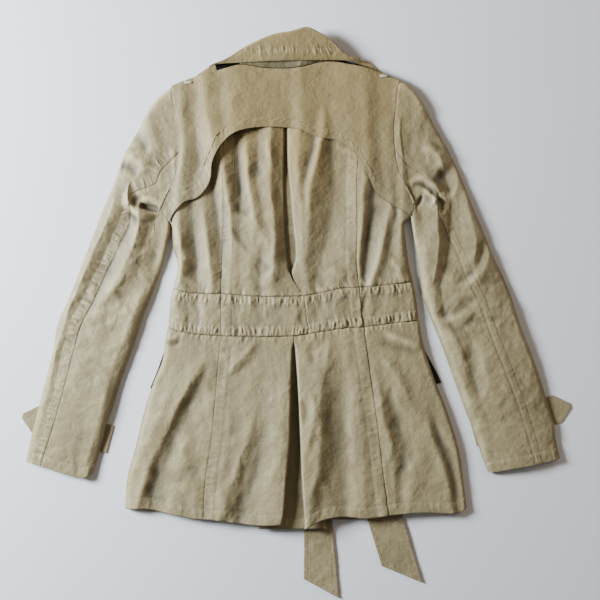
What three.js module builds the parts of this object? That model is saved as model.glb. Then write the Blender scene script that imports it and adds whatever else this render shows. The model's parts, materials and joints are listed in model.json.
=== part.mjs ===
// Trench coat laid flat with its back up: millimetres, +Z up, the cloth rests on z = 0.
// Every piece is a closed wall of cloth. Its outline comes from the seam tables below, its height
// from the section and fold tables. Left and right are as seen from above, with the collar at +Y.
import * as THREE from 'three';

// Driving dimensions
const CLOTH = 1.6;
const SLEEVE_WALL = 2;
const SEAM_GAP = 0.3;
const PLY_GAP = 0.5;
const SLEEVE_HEIGHT = 9.5;
const SIDE_ROLL = 7;
const SIDE_SEAM_HEIGHT = 4.2;
const FLAP_RISE = 2.9;
const BELT_WIDTH = 57;
const STRAP_WIDTH = 46;
const BUTTON_RADIUS = 13;
const BUTTON_HEIGHT = 2.5;

// Colours of the cloth, its shadow side, the buttons and the pocket bags
const KHAKI = 0xb2a88a;
const KHAKI_DARK = 0x9d9274;
const HORN = 0x5a4632;
const POCKETING = 0x1d1a15;

// Level seams across the back, left to right. Columns: x, y
const SHOULDER = [[-199, 365], [-168, 377], [-136, 386], [-111, 393], [-88, 398], [-47, 393],
  [3, 394], [48, 404], [86, 399], [121, 391], [147, 381], [166, 373]];
const WAIST_TOP = [[-197, 41], [-166, 34], [-120, 33], [-64, 29], [13, 30], [41, 35], [74, 42],
  [100, 43], [187, 52]];
const WAIST_LOW = [[-205, -20], [-188, -27], [-120, -34], [-34, -35], [-4, -34], [20, -31],
  [76, -22], [107, -20], [196, -9]];
const HEM_LEFT = [[-274, -311], [-234, -312], [-196, -320], [-131, -328], [-60, -336], [-22, -334]];
const HEM_RIGHT = [[13, -342], [24, -336], [44, -327], [76, -323], [113, -326], [172, -319],
  [230, -318], [262, -317], [273, -309]];
const FLAP_HEM = [[-202, 147], [-189, 169], [-160, 185], [-141, 205], [-135, 229], [-127, 257],
  [-104, 285], [-78, 298], [-18, 298], [6, 295], [23, 287], [64, 278], [80, 268], [103, 244],
  [118, 213], [137, 185], [183, 156]];

// Upright seams, top to bottom. Columns: x, y
const ARM_LEFT = [[-199, 365], [-197, 340], [-189, 305], [-186, 276], [-187, 257], [-191, 231],
  [-200, 205], [-211, 185], [-218, 172], [-202, 147]];
const ARM_RIGHT = [[166, 373], [163, 365], [159, 327], [156, 301], [158, 263], [161, 242],
  [167, 223], [183, 191], [188, 174], [183, 156]];
const SIDE_LEFT = [[-202, 147], [-197, 105], [-190, 82], [-192, 60], [-197, 41]];
const SIDE_RIGHT = [[183, 156], [174, 145], [175, 121], [182, 71], [187, 52]];
const BAND_SIDE_LEFT = [[-197, 41], [-202, 18], [-205, -20]];
const BAND_SIDE_RIGHT = [[187, 52], [193, 18], [196, -9]];
const SKIRT_SIDE_LEFT = [[-205, -20], [-215, -75], [-243, -153], [-260, -222], [-271, -263], [-274, -311]];
const SKIRT_SIDE_RIGHT = [[196, -9], [204, -49], [239, -148], [260, -215], [266, -252], [273, -309]];
const PRINCESS_LEFT = [[-114, 393], [-117, 183], [-120, 33]];
const PRINCESS_RIGHT = [[94, 398], [97, 249], [96, 87], [100, 43]];
const PLEAT_LEFT = [[-18, 393], [-18, 220], [-13, 90], [-8, 62], [13, 30]];
const PLEAT_RIGHT = [[-15, 393], [-15, 250], [-6, 146], [-1, 95], [-5, 62], [13, 30]];
const BAND_CENTRE = [[13, 30], [16, 1], [20, -31]];
const SKIRT_PRINCESS_LEFT = [[-120, -34], [-126, -97], [-134, -191], [-148, -327]];
const SKIRT_PRINCESS_RIGHT = [[107, -20], [117, -89], [131, -191], [147, -321]];
const SKIRT_PLEAT_LEFT = [[-4, -34], [-6, -67], [-9, -201], [-22, -334]];
const SKIRT_PLEAT_RIGHT = [[-4, -34], [1, -97], [6, -201], [13, -342]];

// Sleeve seams, armhole to hem. Columns: x, y
const SLEEVE_LEFT = {
  outer: [[-199, 365], [-229, 338], [-250, 301], [-290, 215], [-327, 124], [-365, 25], [-391, -63],
    [-413, -148], [-434, -236]],
  seam: [[-187, 257], [-217, 226], [-237, 203], [-262, 188], [-268, 165], [-280, 116], [-322, 25],
    [-356, -60], [-408, -242]],
  inner: [[-202, 147], [-202, 135], [-216, 74], [-247, -7], [-293, -145], [-326, -256]],
  hem: [[-434, -236], [-408, -242], [-348, -262], [-326, -256]],
};
const SLEEVE_RIGHT = {
  outer: [[166, 373], [193, 353], [220, 305], [269, 209], [315, 96], [344, 31], [392, -105],
    [413, -175], [423, -231]],
  seam: [[158, 263], [182, 236], [204, 221], [228, 186], [234, 150], [256, 98], [288, 26],
    [340, -108], [382, -240]],
  inner: [[183, 156], [186, 138], [194, 89], [220, -17], [269, -148], [308, -254]],
  hem: [[423, -231], [382, -240], [308, -254]],
};

// Front edges, from the neck point down the V to the waist, and the front shoulders. Columns: x, y
const FRONT_EDGE_LEFT = [[-122, 397], [-90, 330], [-20, 225], [56, 140], [60, 45]];
const FRONT_EDGE_RIGHT = [[98, 407], [84, 330], [20, 235], [-56, 150], [-60, 45]];
const FRONT_SHOULDER_LEFT = [[-199, 365], [-168, 378], [-140, 396], [-122, 397]];
const FRONT_SHOULDER_RIGHT = [[98, 407], [115, 405], [129, 393], [147, 382], [166, 373]];

// Flat pieces under the front, in outline. Columns: x, y
const LAPEL_LEFT = [[-108, 362], [-28, 205], [-92, 262], [-142, 322]];
const LAPEL_RIGHT = [[88, 366], [20, 222], [84, 262], [126, 322]];
const COLLAR_POINT_LEFT = [[-122, 390], [-112, 367], [-144, 327], [-166, 352]];
const COLLAR_POINT_RIGHT = [[102, 392], [92, 369], [128, 327], [146, 350]];
const TIE_LEFT = {
  left: [[18, -30.3], [15, -100], [13, -300], [12, -425]],
  right: [[44, -30.3], [52, -100], [56, -300], [68, -455.7]],
};
const TIE_RIGHT = {
  left: [[47, -30.3], [57, -100], [106, -300], [137, -404]],
  right: [[74, -30.3], [98, -100], [163, -300], [202, -431]],
};
const WELT_LEFT = [[-212, -58], [-222, -87], [-235, -119], [-206, -122], [-190, -62]];
const WELT_RIGHT = [[203, -51], [226, -94], [233, -110], [204, -116], [180, -56]];
const BUTTONS = [{ x: -34, y: 130 }, { x: 34, y: 130 }, { x: -34, y: 62 }, { x: 34, y: 62 }];
const KNOT = { left: 18, right: 74, low: -30, high: 35 };

// Collar, left to right: the roll line, the free edge of the fall and the top of the stand. Columns: x, y
const COLLAR_FOLD = [[-139, 397], [-104, 412], [-68, 432], [-39, 444], [17, 456.3], [56, 436], [83, 414],
  [102, 409]];
const COLLAR_EDGE = [[-140, 393], [-90, 401], [6, 404], [70, 405], [103, 404]];
const STAND_TOP = [[-84, 413], [-36, 431], [17, 441], [50, 424]];

// Sections of the body: side lines and the height of the back at the side and in the middle.
// Columns: y, left, right, side, middle
const BODY = [
  { y: 400, left: -205, right: 175, side: 9.5, middle: 10.5 },
  { y: 300, left: -190, right: 157, side: 10.5, middle: 12 },
  { y: 170, left: -214, right: 184, side: 9.5, middle: 13 },
  { y: 40, left: -197, right: 187, side: 8.6, middle: 13 },
  { y: -20, left: -205, right: 196, side: 8.6, middle: 13.5 },
  { y: -150, left: -243, right: 239, side: 8.8, middle: 15 },
  { y: -340, left: -276, right: 275, side: 8.8, middle: 15.5 },
];

// Folds of the back: a soft ridge (or trough, where rise is negative) from one end to the other, with
// the width of its left and right flank. Columns: x0, y0, x1, y1, rise, left, right
const BACK_FOLDS = [
  { x0: -168, y0: 215, x1: -150, y1: 60, rise: -3.2, left: 10, right: 16 },
  { x0: -140, y0: 215, x1: -128, y1: 45, rise: 3, left: 12, right: 14 },
  { x0: -96, y0: 262, x1: -92, y1: 70, rise: 2.6, left: 12, right: 12 },
  { x0: -62, y0: 262, x1: -38, y1: 60, rise: 3, left: 12, right: 16 },
  { x0: -36, y0: 280, x1: -30, y1: 100, rise: -2.2, left: 9, right: 9 },
  { x0: -14, y0: 290, x1: 2, y1: 78, rise: 2, left: 4, right: 16 },
  { x0: 22, y0: 285, x1: 42, y1: 80, rise: -2.8, left: 16, right: 20 },
  { x0: 62, y0: 270, x1: 84, y1: 60, rise: 2.2, left: 16, right: 12 },
  { x0: 112, y0: 215, x1: 108, y1: 70, rise: -2.6, left: 10, right: 18 },
  { x0: 152, y0: 165, x1: 128, y1: 60, rise: 2.6, left: 20, right: 10 },
  { x0: -128, y0: -45, x1: -222, y1: -262, rise: -4, left: 26, right: 10 },
  { x0: -62, y0: -42, x1: -108, y1: -100, rise: -2.6, left: 12, right: 10 },
  { x0: -188, y0: -60, x1: -236, y1: -200, rise: 2.2, left: 14, right: 12 },
  { x0: -100, y0: -120, x1: -120, y1: -310, rise: 1.8, left: 22, right: 20 },
  { x0: -56, y0: -150, x1: -86, y1: -320, rise: -2, left: 12, right: 14 },
  { x0: -30, y0: -90, x1: -40, y1: -320, rise: 3, left: 18, right: 12 },
  { x0: 26, y0: -60, x1: 24, y1: -330, rise: 3.2, left: 10, right: 14 },
  { x0: 58, y0: -50, x1: 62, y1: -315, rise: -3.8, left: 16, right: 16 },
  { x0: 90, y0: -50, x1: 96, y1: -300, rise: 1.6, left: 14, right: 12 },
  { x0: 118, y0: -60, x1: 168, y1: -190, rise: -2.4, left: 12, right: 12 },
  { x0: 126, y0: -28, x1: 202, y1: -52, rise: 2.6, left: 9, right: 9 },
  { x0: 204, y0: -160, x1: 236, y1: -300, rise: -2.4, left: 12, right: 12 },
  { x0: 176, y0: -100, x1: 196, y1: -300, rise: 2, left: 18, right: 20 },
];

// Folds of the storm flap. Columns as above
const FLAP_FOLDS = [
  { x0: -168, y0: 352, x1: -136, y1: 215, rise: 1.8, left: 14, right: 12 },
  { x0: -112, y0: 330, x1: -112, y1: 290, rise: 1.6, left: 14, right: 12 },
  { x0: 4, y0: 385, x1: 4, y1: 300, rise: 3.4, left: 14, right: 18 },
  { x0: 62, y0: 385, x1: 70, y1: 290, rise: 2.2, left: 14, right: 20 },
  { x0: 118, y0: 355, x1: 112, y1: 250, rise: 2, left: 16, right: 16 },
];

// Folds of the sleeves. Columns as above
const SLEEVE_FOLDS = [
  { x0: -232, y0: 300, x1: -262, y1: 240, rise: 2, left: 12, right: 12 },
  { x0: -258, y0: 188, x1: -216, y1: 172, rise: 3.4, left: 8, right: 8 },
  { x0: -262, y0: 190, x1: -266, y1: 176, rise: 2.4, left: 8, right: 8 },
  { x0: -250, y0: 180, x1: -222, y1: 178, rise: -2.4, left: 5, right: 5 },
  { x0: -222, y0: 140, x1: -236, y1: 90, rise: -2.6, left: 10, right: 12 },
  { x0: -318, y0: 120, x1: -352, y1: 20, rise: 1.8, left: 14, right: 12 },
  { x0: -298, y0: 10, x1: -352, y1: -150, rise: 1.4, left: 14, right: 14 },
  { x0: 200, y0: 300, x1: 184, y1: 250, rise: -2.2, left: 9, right: 9 },
  { x0: 196, y0: 206, x1: 224, y1: 182, rise: 3.2, left: 7, right: 7 },
  { x0: 236, y0: 236, x1: 250, y1: 140, rise: -3, left: 10, right: 14 },
  { x0: 276, y0: 96, x1: 300, y1: 40, rise: 2.4, left: 14, right: 12 },
  { x0: 262, y0: 20, x1: 300, y1: -60, rise: 1.8, left: 12, right: 14 },
  { x0: 330, y0: -20, x1: 372, y1: -130, rise: 1.6, left: 16, right: 14 },
];

// Puckers along the waistband seams: count, height and how far they run into the band
const PUCKER = { count: 22, rise: 0.8, reach: 14 };

const ease = (t) => {
  const k = Math.min(Math.max(t, 0), 1);
  return k * k * (3 - 2 * k);
};

const mix = (a, b, t) => a + (b - a) * t;

// A seam as a smooth curve through its rows
const curve = (rows) => new THREE.CatmullRomCurve3(
  rows.map(([x, y]) => new THREE.Vector3(x, y, 0)), false, 'centripetal');

// Points at even steps of length along a seam
const steps = (rows, cells) => curve(rows).getSpacedPoints(cells);

// The share of a left-to-right seam's length at which it passes x
const shareAt = (line, x) => {
  let low = 0;
  let high = 1;
  for (let i = 0; i < 40; i += 1) {
    const middle = (low + high) / 2;
    if (line.getPointAt(middle).x < x) low = middle;
    else high = middle;
  }
  return (low + high) / 2;
};

// Points on a level seam between two x positions, in even cells
const span = (rows, fromX, toX, cells) => {
  const line = curve(rows);
  const a = shareAt(line, fromX);
  const b = shareAt(line, toX);
  return Array.from({ length: cells + 1 }, (_, i) => line.getPointAt(mix(a, b, i / cells)));
};

// Joins runs of points that end and begin in the same place
const join = (...runs) => runs.flatMap((run, i) => (i === 0 ? run : run.slice(1)));

const reversed = (run) => run.slice().reverse();

// Angles of the columns round a rolled edge, and their share of the roll's radius
const ROLL_ANGLES = [0, 0.7, 1.2, Math.PI / 2];
const rollShares = ROLL_ANGLES.map((angle) => 1 - Math.cos(angle));

// Moves the points next to a run's start so that a roll of the given radius has its columns there
const withRoll = (run, radius, atEnd = false) => {
  const line = new THREE.CatmullRomCurve3(atEnd ? reversed(run) : run, false, 'centripetal');
  const length = line.getLength();
  const cells = run.length - 1;
  const rolled = rollShares.length - 1;
  const points = run.map((_, i) => {
    if (i <= rolled) return line.getPointAt(rollShares[i] * radius / length);
    return line.getPointAt(mix(radius / length, 1, (i - rolled) / (cells - rolled)));
  });
  points[0].copy(atEnd ? run[cells] : run[0]);
  points[cells].copy(atEnd ? run[0] : run[cells]);
  return atEnd ? reversed(points) : points;
};

// Shares of a run's length at each of its points
const shares = (run) => {
  const lengths = [0];
  for (let i = 1; i < run.length; i += 1) lengths.push(lengths[i - 1] + run[i].distanceTo(run[i - 1]));
  return lengths.map((length) => length / lengths[lengths.length - 1]);
};

// A sheet between four seams (a Coons patch): rows from top to bottom, each from left to right
const sheet = (top, bottom, left, right) => {
  const [topShare, bottomShare] = [shares(top), shares(bottom)];
  const [leftShare, rightShare] = [shares(left), shares(right)];
  const last = top.length - 1;
  return left.map((leftPoint, i) => top.map((topPoint, j) => {
    const v = mix(leftShare[i], rightShare[i], j / last);
    const u = mix(topShare[j], bottomShare[j], v);
    const across = leftPoint.clone().lerp(right[i], u);
    const down = topPoint.clone().lerp(bottom[j], v);
    const cornersTop = top[0].clone().lerp(top[last], u);
    const cornersBottom = bottom[0].clone().lerp(bottom[last], u);
    return across.add(down).sub(cornersTop.lerp(cornersBottom, v));
  }));
};

// Draws a sheet's edge in by half the seam gap, square to the edge
const inset = (rows) => {
  const lastRow = rows.length - 1;
  const lastColumn = rows[0].length - 1;
  const pull = (along, inward) => {
    const tangent = along.clone().setZ(0).normalize();
    const normal = new THREE.Vector3(-tangent.y, tangent.x, 0);
    if (normal.dot(inward) < 0) normal.negate();
    return normal.multiplyScalar(SEAM_GAP / 2);
  };
  return rows.map((row, i) => row.map((point, j) => {
    const moved = point.clone();
    if (i === 0 || i === lastRow) {
      const along = row[Math.min(j + 1, lastColumn)].clone().sub(row[Math.max(j - 1, 0)]);
      const inward = rows[i === 0 ? 1 : lastRow - 1][j].clone().sub(point);
      moved.add(pull(along, inward));
    }
    if (j === 0 || j === lastColumn) {
      const along = rows[Math.min(i + 1, lastRow)][j].clone().sub(rows[Math.max(i - 1, 0)][j]);
      const inward = row[j === 0 ? 1 : lastColumn - 1].clone().sub(point);
      moved.add(pull(along, inward));
    }
    return moved;
  }));
};

// Height that the folds of a table add at a place
const foldHeight = (table, x, y) => table.reduce((sum, fold) => {
  const [dx, dy] = [fold.x1 - fold.x0, fold.y1 - fold.y0];
  const length = Math.hypot(dx, dy);
  const along = ((x - fold.x0) * dx + (y - fold.y0) * dy) / (length * length);
  const aside = ((x - fold.x0) * dy - (y - fold.y0) * dx) / length;
  const toRight = dy < 0 ? aside < 0 : aside > 0;
  const offset = Math.abs(aside) / (toRight ? fold.right : fold.left);
  const ends = ease(along / 0.3 + 0.35) * ease((1 - along) / 0.3 + 0.35);
  return sum + fold.rise * Math.exp(-offset * offset) * ends;
}, 0);

const bodyAt = (y) => {
  const below = BODY.findIndex((row) => row.y < y);
  const b = BODY[below < 1 ? (below === 0 ? 1 : BODY.length - 1) : below];
  const a = BODY[BODY.indexOf(b) - 1];
  const t = Math.min(Math.max((y - a.y) / (b.y - a.y), 0), 1);
  return Object.fromEntries(Object.keys(a).map((key) => [key, mix(a[key], b[key], t)]));
};

// Puckers of the two long waistband seams
const puckerHeight = (x, y) => {
  const body = bodyAt(y);
  const t = (x - body.left) / (body.right - body.left);
  const wave = Math.sin(t * PUCKER.count * 2 * Math.PI);
  const toTop = Math.abs(y - 37) / PUCKER.reach;
  const toLow = Math.abs(y + 28) / PUCKER.reach;
  return PUCKER.rise * wave * (Math.exp(-toTop * toTop) + Math.exp(-toLow * toLow));
};

// Height of the laid body without its folds
const crownHeight = (x, y) => {
  const body = bodyAt(y);
  const t = 2 * (x - body.left) / (body.right - body.left) - 1;
  return mix(body.middle, body.side, Math.min(Math.abs(t), 1) ** 3);
};

// Outer height of the back at a place
const backHeight = (x, y) => crownHeight(x, y) + foldHeight(BACK_FOLDS, x, y) + puckerHeight(x, y);

// The flap lies on the ridges of the back and stands further off it at the left curve of its hem
const flapHeight = (x, y) => {
  const ridges = Math.max(foldHeight(BACK_FOLDS, x, y), 0);
  const lift = 4.5 * Math.exp(-(((x + 112) / 50) ** 2) - (((y - 262) / 36) ** 2));
  return crownHeight(x, y) + ridges + FLAP_RISE + lift + foldHeight(FLAP_FOLDS, x, y);
};

// What the front lies on: the belt, the buttons, the ties and the lapels. Columns: x0, x1, y0, y1, rise
const BEDS = [
  { x0: -330, x1: 330, y0: -36, y1: 40, rise: 2.1 },
  { x0: -98, x1: 98, y0: -40, y1: 165, rise: 3 },
  { x0: -98, x1: 195, y0: -500, y1: -20, rise: 2.1 },
  { x0: -190, x1: 170, y0: 165, y1: 470, rise: 2.1 },
  { x0: -260, x1: -160, y0: -140, y1: -30, rise: 2.1 },
  { x0: 150, x1: 260, y0: -140, y1: -30, rise: 2.1 },
];
const BED_RAMP = 26;
const bedHeight = (x, y) => Math.max(...BEDS.map((bed) => {
  const outX = Math.max(bed.x0 - x, x - bed.x1, 0);
  const outY = Math.max(bed.y0 - y, y - bed.y1, 0);
  return bed.rise * (1 - ease(Math.hypot(outX, outY) / BED_RAMP));
}));

// How the edges of a wall are cut: upright, or level from the row where a side rolls down to its seam
const UPRIGHT = { levelSide: null, from: 0 };

// A closed wall from rows of outer points, thickened inwards
const wall = (rows, thickness, cut = UPRIGHT) => {
  const lastRow = rows.length - 1;
  const lastColumn = rows[0].length - 1;
  const levelColumn = { left: 0, right: lastColumn }[cut.levelSide];
  const at = (i, j) => rows[Math.min(Math.max(i, 0), lastRow)][Math.min(Math.max(j, 0), lastColumn)];
  const normalAt = (i, j) => {
    const along = at(i, j + 1).clone().sub(at(i, j - 1));
    const down = at(i + 1, j).clone().sub(at(i - 1, j));
    return down.cross(along).normalize();
  };
  const cutUpright = (normal, point, next, previous) => {
    const line = (next === point ? point.clone().sub(previous) : next.clone().sub(point)).setZ(0).normalize();
    const outward = new THREE.Vector3(-line.y, line.x, 0);
    return normal.addScaledVector(outward, -normal.dot(outward)).normalize();
  };
  const inner = rows.map((row, i) => row.map((point, j) => {
    let normal = normalAt(i, j);
    if (i === 0 || i === lastRow) normal = cutUpright(normal, point, at(i, j + 1), at(i, j - 1));
    if (j === levelColumn && i >= cut.from) normal.setZ(0).normalize();
    else if (j === 0 || j === lastColumn) normal = cutUpright(normal, point, at(i + 1, j), at(i - 1, j));
    return point.clone().addScaledVector(normal, -thickness);
  }));
  const count = rows.length * rows[0].length;
  const positions = [...rows.flat(), ...inner.flat()].flatMap((point) => point.toArray());
  const index = [];
  const id = (i, j, side) => side * count + i * rows[0].length + j;
  const quad = (a, b, c, d) => index.push(a, b, c, a, c, d);
  for (let i = 0; i < lastRow; i += 1) {
    for (let j = 0; j < lastColumn; j += 1) {
      quad(id(i, j, 0), id(i + 1, j, 0), id(i + 1, j + 1, 0), id(i, j + 1, 0));
      quad(id(i, j, 1), id(i, j + 1, 1), id(i + 1, j + 1, 1), id(i + 1, j, 1));
    }
  }
  for (let i = 0; i < lastRow; i += 1) {
    quad(id(i, 0, 0), id(i, 0, 1), id(i + 1, 0, 1), id(i + 1, 0, 0));
    quad(id(i + 1, lastColumn, 0), id(i + 1, lastColumn, 1), id(i, lastColumn, 1), id(i, lastColumn, 0));
  }
  for (let j = 0; j < lastColumn; j += 1) {
    quad(id(0, j + 1, 0), id(0, j + 1, 1), id(0, j, 1), id(0, j, 0));
    quad(id(lastRow, j, 0), id(lastRow, j, 1), id(lastRow, j + 1, 1), id(lastRow, j + 1, 0));
  }
  const geometry = new THREE.BufferGeometry();
  geometry.setAttribute('position', new THREE.Float32BufferAttribute(positions, 3));
  geometry.setIndex(index);
  return geometry;
};

const coat = new THREE.Group();

const add = (name, geometry, color = KHAKI, roughness = 0.85) => {
  const material = new THREE.MeshStandardMaterial({ color, roughness, metalness: 0 });
  const mesh = new THREE.Mesh(geometry, material);
  mesh.name = name;
  coat.add(mesh);
};

// Raises a flat sheet to its height. Columns next to a rolled side come down to the side seam.
const raise = (rows, height, roll = {}) => rows.map((row, i) => row.map((point, j) => {
  const full = height(point.x, point.y);
  const fromEdge = roll.side === 'left' ? j : row.length - 1 - j;
  if (!roll.side || i < (roll.from ?? 0) || fromEdge >= ROLL_ANGLES.length) return point.clone().setZ(full);
  return point.clone().setZ(mix(roll.seam, full, Math.sin(ROLL_ANGLES[fromEdge])));
}));

// Shared runs of points along the seams. A seam is divided once, so both of its pieces meet on it.
const CELLS = {
  side: 6, left: 6, rightOfPleat: 2, right: 5, front: 10, sleeve: 6, sleeveRows: 15, back: 8, band: 4, skirt: 10,
};
const armLeft = join(
  withRoll(steps(ARM_LEFT.slice(0, 5), CELLS.sleeve), SIDE_ROLL),
  withRoll(steps(ARM_LEFT.slice(4), CELLS.sleeve), SIDE_ROLL, true),
);
const armRight = join(
  withRoll(steps(ARM_RIGHT.slice(0, 5), CELLS.sleeve), SIDE_ROLL),
  withRoll(steps(ARM_RIGHT.slice(4), CELLS.sleeve), SIDE_ROLL, true),
);
const sideLeft = join(armLeft, steps(SIDE_LEFT, CELLS.back));
const sideRight = join(armRight, steps(SIDE_RIGHT, CELLS.back));
const backRows = sideLeft.length - 1;

const topSide = (rows, from, to, atEnd) => withRoll(span(rows, from, to, CELLS.side), SIDE_ROLL, atEnd);
const shoulder = {
  leftSide: topSide(SHOULDER, -199, -114, false),
  left: span(SHOULDER, -114, -18, CELLS.left + CELLS.rightOfPleat),
  right: span(SHOULDER, -15, 94, CELLS.right),
  rightSide: topSide(SHOULDER, 94, 166, true),
};
const waistTop = {
  leftSide: topSide(WAIST_TOP, -197, -120, false),
  left: span(WAIST_TOP, -120, 13, CELLS.left + CELLS.rightOfPleat),
  right: span(WAIST_TOP, 13, 100, CELLS.right),
  rightSide: topSide(WAIST_TOP, 100, 187, true),
};
const waistLow = {
  leftSide: topSide(WAIST_LOW, -205, -120, false),
  left: join(span(WAIST_LOW, -120, -4, CELLS.left), span(WAIST_LOW, -4, 20, CELLS.rightOfPleat)),
  right: span(WAIST_LOW, 20, 107, CELLS.right),
  rightSide: topSide(WAIST_LOW, 107, 196, true),
};
const hem = {
  leftSide: topSide(HEM_LEFT, -274, -148, false),
  left: span(HEM_LEFT, -148, -22, CELLS.left),
  right: span(HEM_RIGHT, 13, 147, CELLS.right + CELLS.rightOfPleat),
  rightSide: topSide(HEM_RIGHT, 147, 273, true),
};

// Ends a run of points exactly on the points it has to meet
const between = (start, run, end) => [start, ...run.slice(1, -1), end];
const lastOf = (run) => run[run.length - 1];

// Upper back: four panels from the shoulder to the waistband, under the flap at the top
const leftRoll = { side: 'left', seam: SIDE_SEAM_HEIGHT, from: armLeft.length - 1 };
const rightRoll = { side: 'right', seam: SIDE_SEAM_HEIGHT, from: armRight.length - 1 };
const princessLeft = between(shoulder.left[0], steps(PRINCESS_LEFT, backRows), waistTop.left[0]);
const princessRight = between(lastOf(shoulder.right), steps(PRINCESS_RIGHT, backRows), lastOf(waistTop.right));
const pleatLeft = between(lastOf(shoulder.left), steps(PLEAT_LEFT, backRows), lastOf(waistTop.left));
const pleatRight = between(shoulder.right[0], steps(PLEAT_RIGHT, backRows), waistTop.right[0]);

const cutFor = (roll) => ({ levelSide: roll.side, from: roll.from });

const panel = (name, edges, height, roll = {}) => {
  const rows = raise(inset(sheet(edges.top, edges.bottom, edges.left, edges.right)), height, roll);
  add(name, wall(rows, CLOTH, cutFor(roll)));
};

panel('back_left_side',
  { top: shoulder.leftSide, bottom: waistTop.leftSide, left: sideLeft, right: princessLeft },
  backHeight, leftRoll);
panel('back_left',
  { top: shoulder.left, bottom: waistTop.left, left: princessLeft, right: pleatLeft },
  backHeight);
panel('back_right',
  { top: shoulder.right, bottom: waistTop.right, left: pleatRight, right: princessRight },
  backHeight);
panel('back_right_side',
  { top: shoulder.rightSide, bottom: waistTop.rightSide, left: princessRight, right: sideRight },
  backHeight, rightRoll);

// Waistband: four pieces between its two long seams
const bandRolls = { left: { ...leftRoll, from: 0 }, right: { ...rightRoll, from: 0 } };
const bandPrincessLeft = steps([[-120, 33], [-120, 0], [-120, -34]], CELLS.band);
const bandPrincessRight = steps([[100, 43], [103, 12], [107, -20]], CELLS.band);
const bandLines = [
  between(waistTop.leftSide[0], steps(BAND_SIDE_LEFT, CELLS.band), waistLow.leftSide[0]),
  between(waistTop.left[0], bandPrincessLeft, waistLow.left[0]),
  between(waistTop.right[0], steps(BAND_CENTRE, CELLS.band), waistLow.right[0]),
  between(waistTop.rightSide[0], bandPrincessRight, waistLow.rightSide[0]),
  between(lastOf(waistTop.rightSide), steps(BAND_SIDE_RIGHT, CELLS.band), lastOf(waistLow.rightSide)),
];
[
  { name: 'waist_left_side', run: 'leftSide', roll: bandRolls.left },
  { name: 'waist_left', run: 'left' },
  { name: 'waist_right', run: 'right' },
  { name: 'waist_right_side', run: 'rightSide', roll: bandRolls.right },
].forEach(({ name, run, roll }, i) => {
  panel(name, { top: waistTop[run], bottom: waistLow[run], left: bandLines[i], right: bandLines[i + 1] },
    backHeight, roll);
});

// Skirt: four panels from the waistband to the hem, with the inverted pleat open between them
const skirtTop = {
  leftSide: waistLow.leftSide,
  left: waistLow.left.slice(0, CELLS.left + 1),
  right: join(waistLow.left.slice(CELLS.left), waistLow.right),
  rightSide: waistLow.rightSide,
};
const PLEAT_SWELL = { rise: 2.5, x: -2, reach: 32, start: -50, length: 120 };
const skirtHeight = (x, y) => {
  const aside = (x - PLEAT_SWELL.x) / PLEAT_SWELL.reach;
  const along = ease((PLEAT_SWELL.start - y) / PLEAT_SWELL.length);
  return backHeight(x, y) + PLEAT_SWELL.rise * Math.exp(-aside * aside) * along;
};
const skirtLines = {
  sideLeft: between(skirtTop.leftSide[0], steps(SKIRT_SIDE_LEFT, CELLS.skirt), hem.leftSide[0]),
  princessLeft: between(skirtTop.left[0], steps(SKIRT_PRINCESS_LEFT, CELLS.skirt), hem.left[0]),
  pleatLeft: between(lastOf(skirtTop.left), steps(SKIRT_PLEAT_LEFT, CELLS.skirt), lastOf(hem.left)),
  pleatRight: between(skirtTop.right[0], steps(SKIRT_PLEAT_RIGHT, CELLS.skirt), hem.right[0]),
  princessRight: between(lastOf(skirtTop.right), steps(SKIRT_PRINCESS_RIGHT, CELLS.skirt), lastOf(hem.right)),
  sideRight: between(lastOf(skirtTop.rightSide), steps(SKIRT_SIDE_RIGHT, CELLS.skirt), lastOf(hem.rightSide)),
};
panel('skirt_left_side',
  { top: skirtTop.leftSide, bottom: hem.leftSide, left: skirtLines.sideLeft, right: skirtLines.princessLeft },
  skirtHeight, bandRolls.left);
panel('skirt_left',
  { top: skirtTop.left, bottom: hem.left, left: skirtLines.princessLeft, right: skirtLines.pleatLeft },
  skirtHeight);
panel('skirt_right',
  { top: skirtTop.right, bottom: hem.right, left: skirtLines.pleatRight, right: skirtLines.princessRight },
  skirtHeight);
panel('skirt_right_side',
  { top: skirtTop.rightSide, bottom: hem.rightSide, left: skirtLines.princessRight, right: skirtLines.sideRight },
  skirtHeight, bandRolls.right);

// Pleat underlays: strips under the two openings
const strip = (name, edges, height, cells) => {
  const left = steps(edges.left, cells);
  const right = steps(edges.right, cells);
  const rows = left.map((point, i) => [0, 0.5, 1].map((share) => point.clone().lerp(right[i], share)));
  add(name, wall(raise(rows, height), CLOTH));
};
const underBack = (depth) => (x, y) => bodyAt(y).middle - CLOTH - depth;
strip('back_pleat', { left: [[-40, 300], [-36, 60]], right: [[12, 300], [20, 60]] }, underBack(2.4), 6);
strip('skirt_pleat',
  { left: [[-24, -42], [-40, -200], [-60, -343]], right: [[22, -42], [34, -200], [48, -343]] },
  underBack(4.2), 8);

// Storm flap over the upper back, joined at the neck, the shoulders and the armholes
const flapTop = join(
  shoulder.leftSide, shoulder.left.slice(0, -1), [shoulder.right[0]], shoulder.right, shoulder.rightSide);
const flapHem = steps(FLAP_HEM, flapTop.length - 1);
const flapRows = sheet(flapTop, flapHem, armLeft, armRight);
add('storm_flap', wall(raise(inset(flapRows), flapHeight), CLOTH));

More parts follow.
